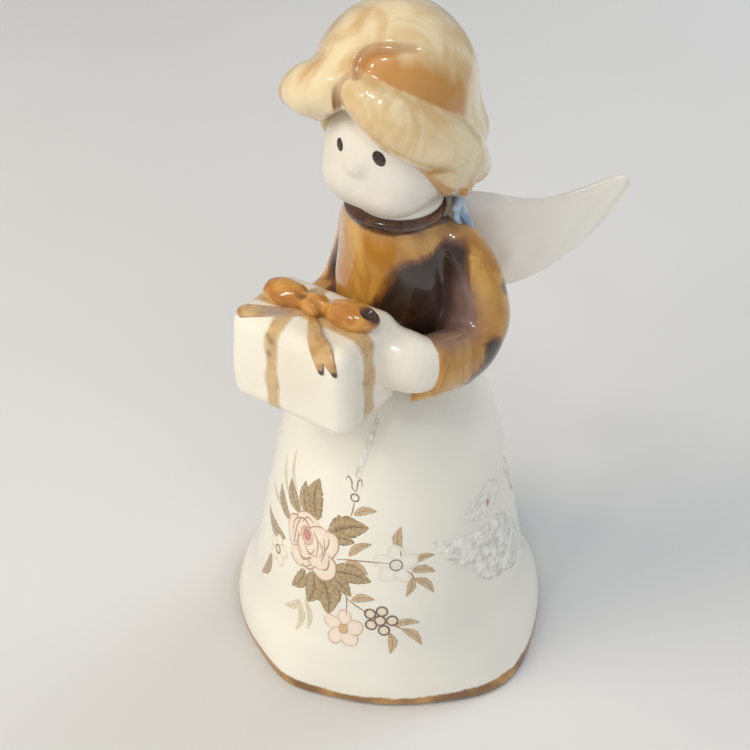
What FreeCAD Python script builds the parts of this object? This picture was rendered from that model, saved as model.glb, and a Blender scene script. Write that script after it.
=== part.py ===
"""Porcelain angel bell, in millimetres, +Z up, the figure facing -Y.

The origin is on the bell's axis, in the plane of the rim that it stands on. The figure's left
is +X. The hollow skirt is the bell; a wire staple, a link and a clapper hang inside it.
"""

import FreeCAD, Part
import math
import os
from FreeCAD import Rotation, Vector

# Driving dimensions of the bell.
RIM_RADIUS = 30.0
WALL = 2.6
# Soft folds of the hem: angle in degrees, reach, spread in degrees.
HEM_FOLDS = (
    (62.0, 1.6, 14.0),
    (130.0, 2.2, 15.0),
    (198.0, 0.6, 12.0),
    (266.0, 1.55, 9.0),
    (346.0, 3.2, 15.0),
)
HEM_FADE = 14.0
HEM_POINTS = 72
SKIRT_TOP = 62.5
# Outside of the skirt: height, radius.
SKIRT_PROFILE = (
    (0.0, RIM_RADIUS),
    (3.0, 29.9),
    (6.0, 29.1),
    (9.0, 27.7),
    (12.0, 26.6),
    (16.0, 25.7),
    (24.0, 24.2),
    (36.0, 22.0),
    (46.0, 19.9),
    (53.0, 17.4),
    (58.5, 14.2),
    (SKIRT_TOP, 10.4),
)
CEILING = 57.0
CEILING_RADIUS = 9.0

# Crown plug and clapper.
PLUG_HOLE_RADIUS = 4.0
PLUG_FLANGE_RADIUS = 6.5
PLUG_FLANGE = 2.0
WIRE_RADIUS = 0.6
WIRE_FIT = 0.06
EYE_RADIUS = 2 * WIRE_RADIUS + WIRE_FIT
STAPLE_BAR_HEIGHT = 50.5
STAPLE_HALF_WIDTH = 3.2
STAPLE_TOP = 61.0
STAPLE_BEND = 1.2
LINK_DROP = 5.5
LINK_HALF_WIDTH = 2.4
LINK_BEND = 0.9
BEAD_HEIGHT = 15.0
BEAD_RADIUS = 5.2
FERRULE_RADIUS = 1.3
FERRULE_LENGTH = 1.6
STEM_END = BEAD_HEIGHT - BEAD_RADIUS - FERRULE_LENGTH

# Figure.
BODICE_TOP = 91.2
BODICE_SECTIONS = (
    (SKIRT_TOP, 10.4, 9.0, 0.0),
    (68.0, 10.6, 9.3, 0.0),
    (76.0, 10.6, 9.4, 0.2),
    (83.0, 10.2, 8.8, 0.4),
    (88.5, 9.2, 8.2, 0.3),
    (BODICE_TOP, 7.0, 6.8, 0.0),
)
NECK_RADIUS = 5.0
NECK_BORE = 2.6
COLLAR_HEIGHT = 92.8
COLLAR_RADIUS = 5.6
COLLAR_SECTION = (2.2, 1.4)
COLLAR_CENTRE_Y = -1.0
NECKLINE_HEIGHT = 90.4
NECKLINE_RADIUS = 7.3
NECKLINE_SECTION = (1.5, 1.3)
HEAD_CENTRE = Vector(0.8, -2.2, 103.2)
HEAD_RADIUS = 11.5
HEAD_HALF_HEIGHT = 11.8
HEAD_WALL = 2.4

# Arms, from the shoulder to the cuff: centre, radius. The right one is held closer in.
LEFT_ARM = (
    ((7.0, 2.2, 86.2), 3.4),
    ((11.2, 2.8, 84.0), 4.3),
    ((14.6, 2.9, 79.0), 4.7),
    ((16.4, 2.0, 73.4), 4.8),
    ((16.8, -0.4, 69.8), 4.9),
    ((16.2, -5.0, 69.0), 5.1),
    ((15.2, -10.2, 69.8), 5.5),
)
RIGHT_ARM = (
    ((-6.6, 2.4, 86.0), 3.4),
    ((-9.4, 3.8, 83.0), 3.9),
    ((-10.8, 5.0, 78.0), 4.1),
    ((-11.8, 4.8, 72.6), 4.2),
    ((-12.8, 2.2, 67.2), 4.4),
    ((-13.8, -3.4, 65.4), 4.6),
    ((-14.2, -9.8, 66.6), 5.0),
)
LEFT_HAND = Vector(13.0, -15.2, 71.2)
RIGHT_HAND = Vector(-13.6, -14.8, 68.4)
HAND_HALF_HEIGHT = 6.8
HAND_RADIUS = 4.6
HAND_TILT = Vector(0, -0.3, 1)

# Hair. The crown's levels are (height, half x, half y, centre x, centre y); a lock's places are
# (centre, radius), and it comes to a point at both ends.
CROWN_LEVELS = (
    (94.5, 10.6, 9.0, 1.6, 4.0),
    (98.0, 12.2, 11.4, 1.6, 3.0),
    (103.0, 13.0, 13.2, 1.2, 1.6),
    (108.0, 13.6, 14.2, 0.6, 0.0),
    (113.0, 13.5, 14.0, 0.4, -0.8),
    (118.0, 12.1, 12.5, 0.2, -1.0),
    (122.0, 9.3, 9.6, 0.1, -1.0),
    (125.2, 4.8, 4.9, 0.1, -1.0),
)
CROWN_TOP = Vector(0.1, -1.0, 126.4)
FACE_OPENING = Vector(HEAD_CENTRE.x, -13.0, 100.0)
FACE_OPENING_HALF_HEIGHT = 13.5
FACE_OPENING_RADIUS = 10.4
FRINGE_LEFT = (
    ((-0.6, -12.4, 117.2), 0.0),
    ((3.4, -12.0, 115.6), 3.7),
    ((8.4, -9.4, 112.2), 4.9),
    ((12.2, -4.4, 107.4), 5.1),
    ((13.4, 1.2, 101.4), 4.2),
    ((12.8, 4.4, 95.6), 0.0),
)
FRINGE_RIGHT = (
    ((1.4, -12.8, 117.4), 0.0),
    ((-3.4, -12.4, 116.2), 4.4),
    ((-8.2, -11.4, 113.8), 4.8),
    ((-11.8, -11.2, 112.4), 3.0),
    ((-14.2, -11.8, 111.8), 0.0),
)
SIDE_LOCK = (
    ((9.6, -6.4, 103.4), 0.0),
    ((10.6, -4.6, 99.8), 2.4),
    ((10.4, -2.6, 96.4), 2.4),
    ((9.4, -0.4, 93.4), 0.0),
)
NAPE_HEIGHT = 94.0
NAPE_RADIUS = 7.8
NAPE_SECTION = (2.6, 2.0)
NAPE_CENTRE_Y = 2.6
NAPE_FRONT = 1.5

# Parcel and its bow.
BOX_LOW = Vector(-13.0, -28.8, 62.0)
BOX_HIGH = Vector(10.6, -12.6, 79.6)
BOX_EDGE = 2.2
KNOT_CENTRE = Vector(-1.2, -20.6, 81.0)
KNOT_HALF_LENGTH = 2.7
KNOT_RADIUS = 2.4
LOOP_LEFT_CENTRE = Vector(5.2, -20.2, 81.0)
LOOP_RIGHT_CENTRE = Vector(-7.2, -20.2, 81.0)
LOOP_HALF_LENGTH = 5.0
LOOP_RADIUS = 3.0
LOOP_DIRECTION = Vector(1.0, 0.1, 0)
TAIL_LEFT = (
    ((0.2, -22.0, 80.6), 0.0),
    ((3.6, -25.4, 80.0), 1.5),
    ((6.0, -28.2, 78.6), 1.6),
    ((7.0, -29.2, 75.6), 1.4),
    ((7.8, -29.3, 72.6), 0.0),
)
TAIL_RIGHT = (
    ((-2.6, -21.8, 80.6), 0.0),
    ((-5.8, -23.6, 80.2), 1.4),
    ((-8.6, -25.4, 80.0), 1.4),
    ((-11.2, -27.2, 79.2), 0.0),
)

# Wings: distance from the root, lower edge, upper edge, thickness.
WING_ROOT = Vector(4.0, 7.4, 0.0)
WING_SWEEP = 30.0
WING_SECTIONS = (
    (-1.0, 71.0, 90.0, 3.4),
    (4.0, 70.6, 90.7, 3.4),
    (8.0, 71.0, 90.7, 3.1),
    (12.0, 72.3, 90.1, 2.9),
    (16.0, 74.2, 89.8, 2.7),
    (20.0, 77.1, 90.7, 2.5),
    (24.0, 81.0, 92.4, 2.3),
    (28.0, 86.2, 94.4, 2.0),
    (30.4, 90.6, 94.9, 1.5),
)
WING_TIP = (31.5, 93.6)

# Ribbon round the back of the neck, from its knot on the left: (centre, radius). The nape's
# roll rests flat on it.
RIBBON_TOP = 92.3
NECK_RIBBON = (
    ((9.9, 2.4, 91.2), 0.6),
    ((9.7, 4.2, 91.2), 1.2),
    ((9.0, 6.0, 91.3), 1.4),
    ((7.4, 8.0, 91.6), 0.9),
    ((4.0, 9.8, 91.7), 0.8),
    ((0.0, 10.4, 91.7), 0.8),
    ((-4.0, 9.8, 91.7), 0.8),
    ((-7.4, 8.0, 91.7), 0.8),
    ((-9.6, 4.6, 91.7), 0.7),
)

RING_POINTS = 24
UP = Vector(0, 0, 1)


def closed_wire(points):
    """One smooth closed wire through the points."""
    spline = Part.BSplineCurve()
    spline.interpolate(Points=points, PeriodicFlag=True)
    return Part.Wire([spline.toShape()])


def loft(sections):
    """A solid through wires, with a vertex allowed as either end."""
    return Part.makeLoft(sections, True, False, False)


def section(centre, across, upward, half_across, half_upward):
    """An elliptical wire about centre, in the plane of the two unit directions."""
    points = []
    for i in range(RING_POINTS):
        angle = 2 * math.pi * i / RING_POINTS
        offset = across * (half_across * math.cos(angle)) + upward * (half_upward * math.sin(angle))
        points.append(centre + offset)
    return closed_wire(points)


def level(height, half_x, half_y, centre_x=0.0, centre_y=0.0):
    """A horizontal elliptical wire."""
    centre = Vector(centre_x, centre_y, height)
    return section(centre, Vector(1, 0, 0), Vector(0, 1, 0), half_x, half_y)


def spheroid(centre, half_axis, radius, direction):
    """An egg-like solid: half_axis long each way along direction, radius wide.

    It is made of two halves, so that no face of it closes on itself.
    """
    half = Part.makeSphere(radius, Vector(0, 0, 0), UP, -90, 90, 180)
    other = half.copy()
    other.rotate(Vector(0, 0, 0), UP, 180)
    stretch = FreeCAD.Matrix()
    stretch.scale(1, 1, half_axis / radius)
    place = FreeCAD.Placement(centre, Rotation(UP, direction)).toMatrix()
    return half.fuse(other).transformGeometry(place.multiply(stretch))


def ring(radius, height, half_width, half_height, centre_y=0.0):
    """A torus of elliptical section about the Z axis."""
    curve = Part.Ellipse(Vector(0, 0, 0), half_width, half_height)
    outline = Part.Wire([curve.toShape()])
    outline.rotate(Vector(0, 0, 0), Vector(1, 0, 0), 90)
    outline.translate(Vector(radius, 0, height))
    shape = Part.Face(outline).revolve(Vector(0, 0, 0), Vector(0, 0, 1), 360)
    shape.translate(Vector(0, centre_y, 0))
    return shape


def mirrored(shape):
    """The same shape on the figure's right."""
    return shape.mirror(Vector(0, 0, 0), Vector(1, 0, 0))


def largest(shape):
    """The largest solid of a shape, without the slivers that a cut leaves."""
    return max(shape.Solids, key=lambda solid: solid.Volume)


def without(shape, *others):
    """The shape with its neighbours' volumes taken out, so that they meet face to face."""
    for other in others:
        shape = shape.cut(other)
    return largest(shape)


def hem_reach(angle):
    """How far the folds push the rim out at an angle in degrees."""
    reach = 0.0
    for fold, height, spread in HEM_FOLDS:
        away = (angle - fold + 180) % 360 - 180
        reach += height * math.exp(-0.5 * (away / spread) ** 2)
    return reach


def skirt_ring(height, radius):
    """A horizontal wire of the skirt. The folds fade out above the hem."""
    fade = max(0.0, 1.0 - max(height, 0.0) / HEM_FADE) ** 2
    points = []
    for i in range(HEM_POINTS):
        angle = 360.0 * i / HEM_POINTS
        reach = radius + fade * hem_reach(angle)
        turn = math.radians(angle)
        points.append(Vector(reach * math.cos(turn), reach * math.sin(turn), height))
    return closed_wire(points)


def make_skirt(plug):
    """The hollow bell, open below, with a hole in its crown for the plug."""
    outside = loft([skirt_ring(height, radius) for height, radius in SKIRT_PROFILE])
    inner = [(-1.0, RIM_RADIUS - WALL)]
    inner += [(height, radius - WALL) for height, radius in SKIRT_PROFILE[1:-2]]
    inner.append((CEILING, CEILING_RADIUS))
    inside = loft([skirt_ring(height, radius) for height, radius in inner])
    return without(outside, inside, plug)


def make_plug():
    """The cement button: a flange under the ceiling and a boss that fills the crown's hole."""
    flange = Part.makeCylinder(PLUG_FLANGE_RADIUS, PLUG_FLANGE, Vector(0, 0, CEILING - PLUG_FLANGE))
    boss = Part.makeCylinder(PLUG_HOLE_RADIUS, SKIRT_TOP - CEILING, Vector(0, 0, CEILING))
    return flange.fuse(boss)


def bent_wire(path):
    """Round wire along a path of lines and arcs."""
    start = path.OrderedEdges[0]
    place = start.valueAt(start.FirstParameter)
    direction = start.tangentAt(start.FirstParameter)
    profile = Part.Wire([Part.Circle(place, direction, WIRE_RADIUS).toShape()])
    return path.makePipeShell([profile], True, False)


def staple_path():
    """Down one leg, along the bar in X, up the other leg."""
    side = STAPLE_HALF_WIDTH
    bottom = STAPLE_BAR_HEIGHT
    bend = STAPLE_BEND
    corner = bend * (1 - math.sqrt(0.5))
    line = Part.LineSegment
    edges = [
        line(Vector(-side, 0, STAPLE_TOP), Vector(-side, 0, bottom + bend)),
        Part.Arc(
            Vector(-side, 0, bottom + bend),
            Vector(-side + corner, 0, bottom + corner),
            Vector(-side + bend, 0, bottom),
        ),
        line(Vector(-side + bend, 0, bottom), Vector(side - bend, 0, bottom)),
        Part.Arc(
            Vector(side - bend, 0, bottom),
            Vector(side - corner, 0, bottom + corner),
            Vector(side, 0, bottom + bend),
        ),
        line(Vector(side, 0, bottom + bend), Vector(side, 0, STAPLE_TOP)),
    ]
    return Part.Wire([edge.toShape() for edge in edges])


def make_link():
    """A closed wire loop in the YZ plane: a half eye on the staple's bar, and a bar along Y."""
    top = STAPLE_BAR_HEIGHT
    bottom = top - LINK_DROP
    side = LINK_HALF_WIDTH
    bend = LINK_BEND
    corner = bend * (1 - math.sqrt(0.5))
    half_eye = Part.makeTorus(EYE_RADIUS, WIRE_RADIUS, Vector(0, 0, top), Vector(1, 0, 0))
    upper = Part.makeBox(8, 8, 4, Vector(-4, -4, top))
    pieces = [half_eye.common(upper)]
    for sign in (-1, 1):
        slope_top = Vector(0, sign * EYE_RADIUS, top)
        slope_end = Vector(0, sign * side, bottom + bend)
        run = slope_end - slope_top
        pieces.append(Part.makeCylinder(WIRE_RADIUS, run.Length, slope_top, run))
        pieces.append(Part.makeSphere(WIRE_RADIUS, slope_top))
        pieces.append(Part.makeSphere(WIRE_RADIUS, slope_end))
        arc = Part.Arc(
            slope_end,
            Vector(0, sign * (side - corner), bottom + corner),
            Vector(0, sign * (side - bend), bottom),
        )
        pieces.append(bent_wire(Part.Wire([arc.toShape()])))
    bar_length = 2 * (side - bend)
    bar_start = Vector(0, -bar_length / 2, bottom)
    pieces.append(Part.makeCylinder(WIRE_RADIUS, bar_length, bar_start, Vector(0, 1, 0)))
    return largest(pieces[0].multiFuse(pieces[1:]).removeSplitter())


def make_stem():
    """The clapper's wire: an eye round the link's bar, then straight down through the bead."""
    eye_height = STAPLE_BAR_HEIGHT - LINK_DROP
    eye = Part.makeTorus(EYE_RADIUS, WIRE_RADIUS, Vector(0, 0, eye_height), Vector(0, 1, 0))
    top = eye_height - EYE_RADIUS
    rod = Part.makeCylinder(WIRE_RADIUS, top - STEM_END, Vector(0, 0, STEM_END))
    return largest(eye.fuse(rod))


def make_bodice():
    """The hollow trunk, closed at the waist by the skirt's crown."""
    outside = loft([level(z, rx, ry, 0.0, cy) for z, rx, ry, cy in BODICE_SECTIONS])
    hollow = [(z, rx - WALL, ry - WALL, cy) for z, rx, ry, cy in BODICE_SECTIONS[:-1]]
    inside = loft([level(z, rx, ry, 0.0, cy) for z, rx, ry, cy in hollow])
    neck_hole = Part.makeCylinder(NECK_BORE, 6.0, Vector(0, 0, BODICE_TOP - 5.0))
    return without(outside, inside, neck_hole)


def tube(places, across):
    """A round tapered tube through (centre, radius) places, squarely cut at both ends.

    across is any direction that is not along the first stretch.
    """
    centres = [Vector(*place) for place, _ in places]
    wires = []
    for i, (_, radius) in enumerate(places):
        before = centres[max(i - 1, 0)]
        after = centres[min(i + 1, len(centres) - 1)]
        along = (after - before).normalize()
        across = (across - along * across.dot(along)).normalize()
        wires.append(section(centres[i], across, across.cross(along), radius, radius))
    return loft(wires)


def make_wing():
    """The left wing: a swept blade with a rounded root and a pointed tip."""
    sweep = math.radians(WING_SWEEP)
    outward = Vector(math.cos(sweep), math.sin(sweep), 0)
    back = Vector(-math.sin(sweep), math.cos(sweep), 0)
    sections = []
    for reach, low, high, thickness in WING_SECTIONS:
        centre = WING_ROOT + outward * reach + Vector(0, 0, (low + high) / 2)
        sections.append(section(centre, back, Vector(0, 0, 1), thickness / 2, (high - low) / 2))
    tip = WING_ROOT + outward * WING_TIP[0] + Vector(0, 0, WING_TIP[1])
    sections.append(Part.Vertex(tip))
    return loft(sections)


def lock(places):
    """A tapered lock of hair through (centre, radius) places, pointed at both ends."""
    centres = [Vector(*place) for place, _ in places]
    sections = [Part.Vertex(centres[0])]
    for i in range(1, len(places) - 1):
        along = (centres[i + 1] - centres[i - 1]).normalize()
        across = along.cross(Vector(0, -0.6, 0.8)).normalize()
        upward = across.cross(along)
        sections.append(section(centres[i], across, upward, places[i][1], places[i][1]))
    sections.append(Part.Vertex(centres[-1]))
    return loft(sections)


def behind(shape, front, bottom):
    """The part of a shape that lies behind the plane y = front and above z = bottom."""
    return shape.common(Part.makeBox(60, 40, 60, Vector(-30, front, bottom)))


def make_clapper(nodes, plug):
    """The staple in the crown, the link on it, and the clapper on the link."""
    staple = bent_wire(staple_path())
    nodes["clapper_staple"] = staple
    nodes["crown_plug"] = without(plug, staple)
    nodes["clapper_link"] = make_link()
    stem = make_stem()
    bead = Part.makeSphere(BEAD_RADIUS, Vector(0, 0, BEAD_HEIGHT))
    ferrule = Part.makeCylinder(FERRULE_RADIUS, FERRULE_LENGTH, Vector(0, 0, STEM_END))
    nodes["clapper_stem"] = stem
    nodes["clapper_bead"] = without(bead, stem)
    nodes["stem_ferrule"] = without(ferrule, stem, nodes["clapper_bead"])


def make_head_envelope():
    """The head and neck without their hollow."""
    neck = Part.makeCylinder(NECK_RADIUS, 8.0, Vector(0, 0, BODICE_TOP))
    return spheroid(HEAD_CENTRE, HEAD_HALF_HEIGHT, HEAD_RADIUS, UP).fuse(neck)


def make_head(envelope):
    """The hollow head, open down through the neck."""
    cavity = spheroid(HEAD_CENTRE, HEAD_HALF_HEIGHT - HEAD_WALL, HEAD_RADIUS - HEAD_WALL, UP)
    throat = Part.makeCylinder(NECK_BORE, 9.0, Vector(0, 0, BODICE_TOP))
    return without(envelope, cavity, throat)


def make_arms(nodes, trunk, neckline, box):
    """Sleeves, hands and wings, each cut to meet its neighbours."""
    wing = make_wing()
    sides = (("left", LEFT_ARM, LEFT_HAND, wing), ("right", RIGHT_ARM, RIGHT_HAND, mirrored(wing)))
    for side, arm, hand_centre, blade in sides:
        sleeve = tube(arm, Vector(0, 1, 0))
        hand = spheroid(hand_centre, HAND_HALF_HEIGHT, HAND_RADIUS, HAND_TILT)
        nodes[f"{side}_sleeve"] = without(sleeve, trunk, neckline, box)
        nodes[f"{side}_hand"] = without(hand, sleeve, box)
        nodes[f"{side}_wing"] = without(blade, trunk, sleeve, neckline)


def make_hair(nodes, head_envelope, trunk, collar):
    """The crown, the two rolls of the fringe, the lock by the left cheek and the nape's roll."""
    crown = loft([level(*place) for place in CROWN_LEVELS] + [Part.Vertex(CROWN_TOP)])
    opening = spheroid(FACE_OPENING, FACE_OPENING_HALF_HEIGHT, FACE_OPENING_RADIUS, UP)
    crown = without(crown, head_envelope, opening)
    left, right = lock(FRINGE_LEFT), lock(FRINGE_RIGHT)
    side = lock(SIDE_LOCK)
    nape = ring(NAPE_RADIUS, NAPE_HEIGHT, *NAPE_SECTION, centre_y=NAPE_CENTRE_Y)
    nape = behind(nape, NAPE_FRONT, RIBBON_TOP)
    nodes["hair_crown"] = crown
    nodes["fringe_left"] = without(left, head_envelope, crown)
    nodes["fringe_right"] = without(right, head_envelope, crown, nodes["fringe_left"])
    nodes["side_lock"] = without(side, head_envelope, crown, left, collar)
    nodes["nape_roll"] = without(nape, crown, head_envelope, trunk, collar, side, left)


def make_bow(nodes, box):
    """The bow on the parcel: a knot, two loops and two tails."""
    knot = spheroid(KNOT_CENTRE, KNOT_HALF_LENGTH, KNOT_RADIUS, LOOP_DIRECTION)
    loop_left = spheroid(LOOP_LEFT_CENTRE, LOOP_HALF_LENGTH, LOOP_RADIUS, LOOP_DIRECTION)
    loop_right = spheroid(LOOP_RIGHT_CENTRE, LOOP_HALF_LENGTH, LOOP_RADIUS, LOOP_DIRECTION)
    nodes["bow_knot"] = without(knot, box)
    nodes["bow_loop_left"] = without(loop_left, box, knot)
    nodes["bow_loop_right"] = without(loop_right, box, knot)
    nodes["bow_tail_left"] = without(lock(TAIL_LEFT), box, knot, loop_left)
    nodes["bow_tail_right"] = without(lock(TAIL_RIGHT), box, knot, loop_right)


def make_neck_ribbon():
    """The ribbon behind the neck, flat on top where the nape's roll rests on it."""
    below = Part.makeBox(60, 60, 60, Vector(-30, -30, RIBBON_TOP - 60))
    return largest(tube(NECK_RIBBON, UP).common(below))


def make_box():
    """The parcel, with generously rounded edges."""
    size = BOX_HIGH - BOX_LOW
    block = Part.makeBox(size.x, size.y, size.z, BOX_LOW)
    return block.makeFillet(BOX_EDGE, block.Edges)


def main():
    os.makedirs("parts", exist_ok=True)
    nodes = {}

    plug = make_plug()
    make_clapper(nodes, plug)
    nodes["bell_skirt"] = make_skirt(plug)

    head_envelope = make_head_envelope()
    trunk = loft([level(z, rx, ry, 0.0, cy) for z, rx, ry, cy in BODICE_SECTIONS])
    neckline = ring(NECKLINE_RADIUS, NECKLINE_HEIGHT, *NECKLINE_SECTION)
    collar = ring(COLLAR_RADIUS, COLLAR_HEIGHT, *COLLAR_SECTION, centre_y=COLLAR_CENTRE_Y)
    nodes["head"] = make_head(head_envelope)
    nodes["bodice"] = make_bodice()
    nodes["neckline"] = without(neckline, trunk)
    nodes["collar"] = without(collar, trunk, neckline, head_envelope)

    box = make_box()
    nodes["gift_box"] = box
    make_arms(nodes, trunk, neckline, box)
    make_bow(nodes, box)
    make_hair(nodes, head_envelope, trunk, collar)
    nodes["neck_ribbon"] = make_neck_ribbon()

    for name, shape in nodes.items():
        shape.exportStep(f"parts/{name}.step")
        print(name, len(shape.Solids), round(shape.Volume, 1), shape.isValid())


main()
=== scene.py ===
"""Porcelain angel bell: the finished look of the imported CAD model. Lengths are in millimetres
until a mesh is made, +Z is up, the figure faces -Y, and its left is +X."""

import math

import bmesh
import bpy
import numpy as np
from mathutils import Matrix, Vector


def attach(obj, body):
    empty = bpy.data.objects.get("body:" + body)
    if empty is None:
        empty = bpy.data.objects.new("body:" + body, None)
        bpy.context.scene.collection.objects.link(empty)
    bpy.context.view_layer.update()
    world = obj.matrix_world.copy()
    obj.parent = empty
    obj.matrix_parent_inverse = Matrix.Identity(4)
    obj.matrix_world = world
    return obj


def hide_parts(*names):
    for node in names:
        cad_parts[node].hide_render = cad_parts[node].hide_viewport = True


MM = 0.001
FAR = 99.0

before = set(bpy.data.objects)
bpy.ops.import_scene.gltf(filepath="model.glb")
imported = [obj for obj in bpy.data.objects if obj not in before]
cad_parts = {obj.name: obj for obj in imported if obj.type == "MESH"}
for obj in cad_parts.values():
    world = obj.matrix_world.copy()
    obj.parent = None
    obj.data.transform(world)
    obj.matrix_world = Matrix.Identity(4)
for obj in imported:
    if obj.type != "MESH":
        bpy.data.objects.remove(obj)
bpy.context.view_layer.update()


# ---------------------------------------------------------------- shapes as distance fields


def array(values):
    return np.asarray(values, float)


def length(vectors):
    return np.sqrt((vectors * vectors).sum(-1))


def unit(vector):
    vector = array(vector)
    return vector / np.linalg.norm(vector)


def axes(first, near_second):
    """Three unit directions as columns: first, then the one nearest near_second."""
    first = unit(first)
    second = array(near_second) - first * (first @ array(near_second))
    second = unit(second)
    return np.column_stack([first, second, np.cross(first, second)])


def ball(points, centre, radii, turn=None):
    """Distance to an ellipsoid, near its surface."""
    away = points - array(centre)
    if turn is not None:
        away = away @ turn
    scaled = away / array(radii)
    reach = length(scaled)
    return reach * (reach - 1) / np.maximum(length(scaled / array(radii)), 1e-9)


def smooth_line(places, steps):
    """A Catmull-Rom line through rows of numbers, with steps points per span."""
    rows = array(places)
    ends = [2 * rows[0] - rows[1], *rows, 2 * rows[-1] - rows[-2]]
    found = []
    for i in range(1, len(ends) - 2):
        a, b, c, d = ends[i - 1 : i + 3]
        for step in range(steps):
            t = step / steps
            bend = (2 * b) + (c - a) * t + (2 * a - 5 * b + 4 * c - d) * t**2
            found.append(0.5 * (bend + (3 * b - a - 3 * c + d) * t**3))
    found.append(rows[-1])
    return array(found)


def rope(points, places, steps=4):
    """Distance to a round tapered rope. Each place is (x, y, z, radius)."""
    line = smooth_line(places, steps)
    best = np.full(len(points), np.inf)
    for a, b in zip(line[:-1], line[1:]):
        run = b[:3] - a[:3]
        along = np.clip((points - a[:3]) @ run / max(run @ run, 1e-9), 0, 1)
        gap = length(points - a[:3] - along[:, None] * run) - (a[3] + along * (b[3] - a[3]))
        best = np.minimum(best, gap)
    return best


def block(points, low, high, edge):
    """Distance to a box with rounded edges."""
    low, high = array(low), array(high)
    away = np.abs(points - (low + high) / 2) - (high - low) / 2 + edge
    return length(np.maximum(away, 0)) + np.minimum(away.max(-1), 0) - edge


def loop(points, centre, radius, section):
    """Distance to a level ring of elliptical section."""
    away = points - array(centre)
    flat = np.stack([np.hypot(away[:, 0], away[:, 1]) - radius, away[:, 2]], -1)
    return ball(flat, (0, 0), section)


def stack(points, levels, soft=0.8):
    """Distance to an upright form through levels of (height, half x, half y, centre y)."""
    rows = array(levels)
    height = points[:, 2]
    half_x, half_y, centre_y = (np.interp(height, rows[:, 0], rows[:, i]) for i in (1, 2, 3))
    reach = np.hypot(points[:, 0] / half_x, (points[:, 1] - centre_y) / half_y)
    side = (reach - 1) * np.minimum(half_x, half_y)
    ends = np.maximum(rows[0, 0] - height, height - rows[-1, 0])
    return both(side, ends, soft)


def joined(points, shape, ropes, soft):
    """shape with ropes added one after another."""
    for places in ropes:
        shape = union(shape, rope(points, places), soft)
    return shape


def union(a, b, soft):
    """The nearer of two distances, with a fillet of about soft where they meet."""
    blend = np.maximum(soft - np.abs(a - b), 0)
    return np.minimum(a, b) - blend * blend / (4 * soft)


def both(a, b, soft):
    return -union(-a, -b, soft)


def less(a, b, soft):
    """a with b taken out."""
    return both(a, -b, soft)


def ripple(points, size, seed):
    """Smooth random waves about size long, from -1 to 1."""
    random = np.random.default_rng(seed)
    total = np.zeros(len(points))
    for _ in range(6):
        direction = unit(random.normal(size=3))
        wave = points @ direction * (2 * math.pi / size) * random.uniform(0.7, 1.3)
        total += np.sin(wave + random.uniform(0, 2 * math.pi))
    return total / 3.5


# ---------------------------------------------------------------- fields to meshes

BLOCK = 4


def sampled(field, low, counts, cell):
    """The field on a grid, worked out closely only near its surface."""
    coarse = -(-counts // BLOCK)
    index = np.stack(np.meshgrid(*[np.arange(n) for n in coarse], indexing="ij"), -1)
    rough = field(low + (index.reshape(-1, 3) + 0.5) * BLOCK * cell).reshape(coarse)
    grid = rough.repeat(BLOCK, 0).repeat(BLOCK, 1).repeat(BLOCK, 2)
    near = np.argwhere(np.abs(rough) < 1.25 * BLOCK * cell) * BLOCK
    inner = np.stack(np.meshgrid(*[np.arange(BLOCK)] * 3, indexing="ij"), -1).reshape(-1, 3)
    places = (near[:, None] + inner).reshape(-1, 3)
    grid[tuple(places.T)] = field(low + places * cell)
    return grid


TETRAHEDRON = np.array([(1, -1, -1), (-1, -1, 1), (-1, 1, -1), (1, 1, 1)], float)


def slopes(field, points, step=0.04):
    """The field's gradient, from four nearby values."""
    return sum(corner * field(points + step * corner)[:, None] for corner in TETRAHEDRON) / (4 * step)


def settle(field, points, cell):
    """The points moved on to the field's surface, and its normals there."""
    for _ in range(2):
        slope = slopes(field, points)
        size = np.maximum((slope * slope).sum(-1), 0.1)
        move = -(field(points) / size)[:, None] * slope
        points = points + move * np.minimum(1, cell / np.maximum(length(move), 1e-9))[:, None]
    slope = slopes(field, points)
    return points, slope / np.maximum(length(slope), 1e-9)[:, None]


def net(field, low, high, cell):
    """Points and four-sided faces of the closed surface where the field is nought."""
    low, high = array(low), array(high)
    counts = np.ceil((high - low) / cell).astype(int) + 1
    grid = sampled(field, low, counts, cell)
    cells = tuple(n - 1 for n in grid.shape)
    total = np.zeros((*cells, 3))
    hits = np.zeros(cells)
    for axis in range(3):
        others = [i for i in range(3) if i != axis]
        for corner in ((0, 0), (0, 1), (1, 0), (1, 1)):
            start = [0, 0, 0]
            start[others[0]], start[others[1]] = corner
            first = tuple(slice(s, s + n) for s, n in zip(start, cells))
            start_after = list(start)
            start_after[axis] = 1
            after = tuple(slice(s, s + n) for s, n in zip(start_after, cells))
            a, b = grid[first], grid[after]
            cross = (a < 0) != (b < 0)
            share = np.where(cross, a / np.where(cross, a - b, 1), 0)
            hits += cross
            for i in range(3):
                total[..., i] += share if i == axis else cross * start[i]
    active = hits > 0
    number = np.full(cells, -1)
    number[active] = np.arange(active.sum())
    places = np.argwhere(active)
    points = low + cell * (places + total[active] / hits[active][:, None])
    faces = []
    for axis in range(3):
        second, third = (axis + 1) % 3, (axis + 2) % 3
        here = [slice(1, -1)] * 3
        here[axis] = slice(0, -1)
        ahead = list(here)
        ahead[axis] = slice(1, None)
        a, b = grid[tuple(here)] < 0, grid[tuple(ahead)] < 0
        for entering in (False, True):
            spots = np.argwhere((a != b) & (b == entering))
            base = spots.copy()
            base[:, second] += 1
            base[:, third] += 1
            ring = []
            for back_second, back_third in ((1, 1), (0, 1), (0, 0), (1, 0)):
                spot = base.copy()
                spot[:, second] -= back_second
                spot[:, third] -= back_third
                ring.append(number[tuple(spot.T)])
            quad = np.stack(ring, -1)
            faces.append(quad[:, ::-1] if entering else quad)
    return points, np.concatenate(faces)


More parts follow.
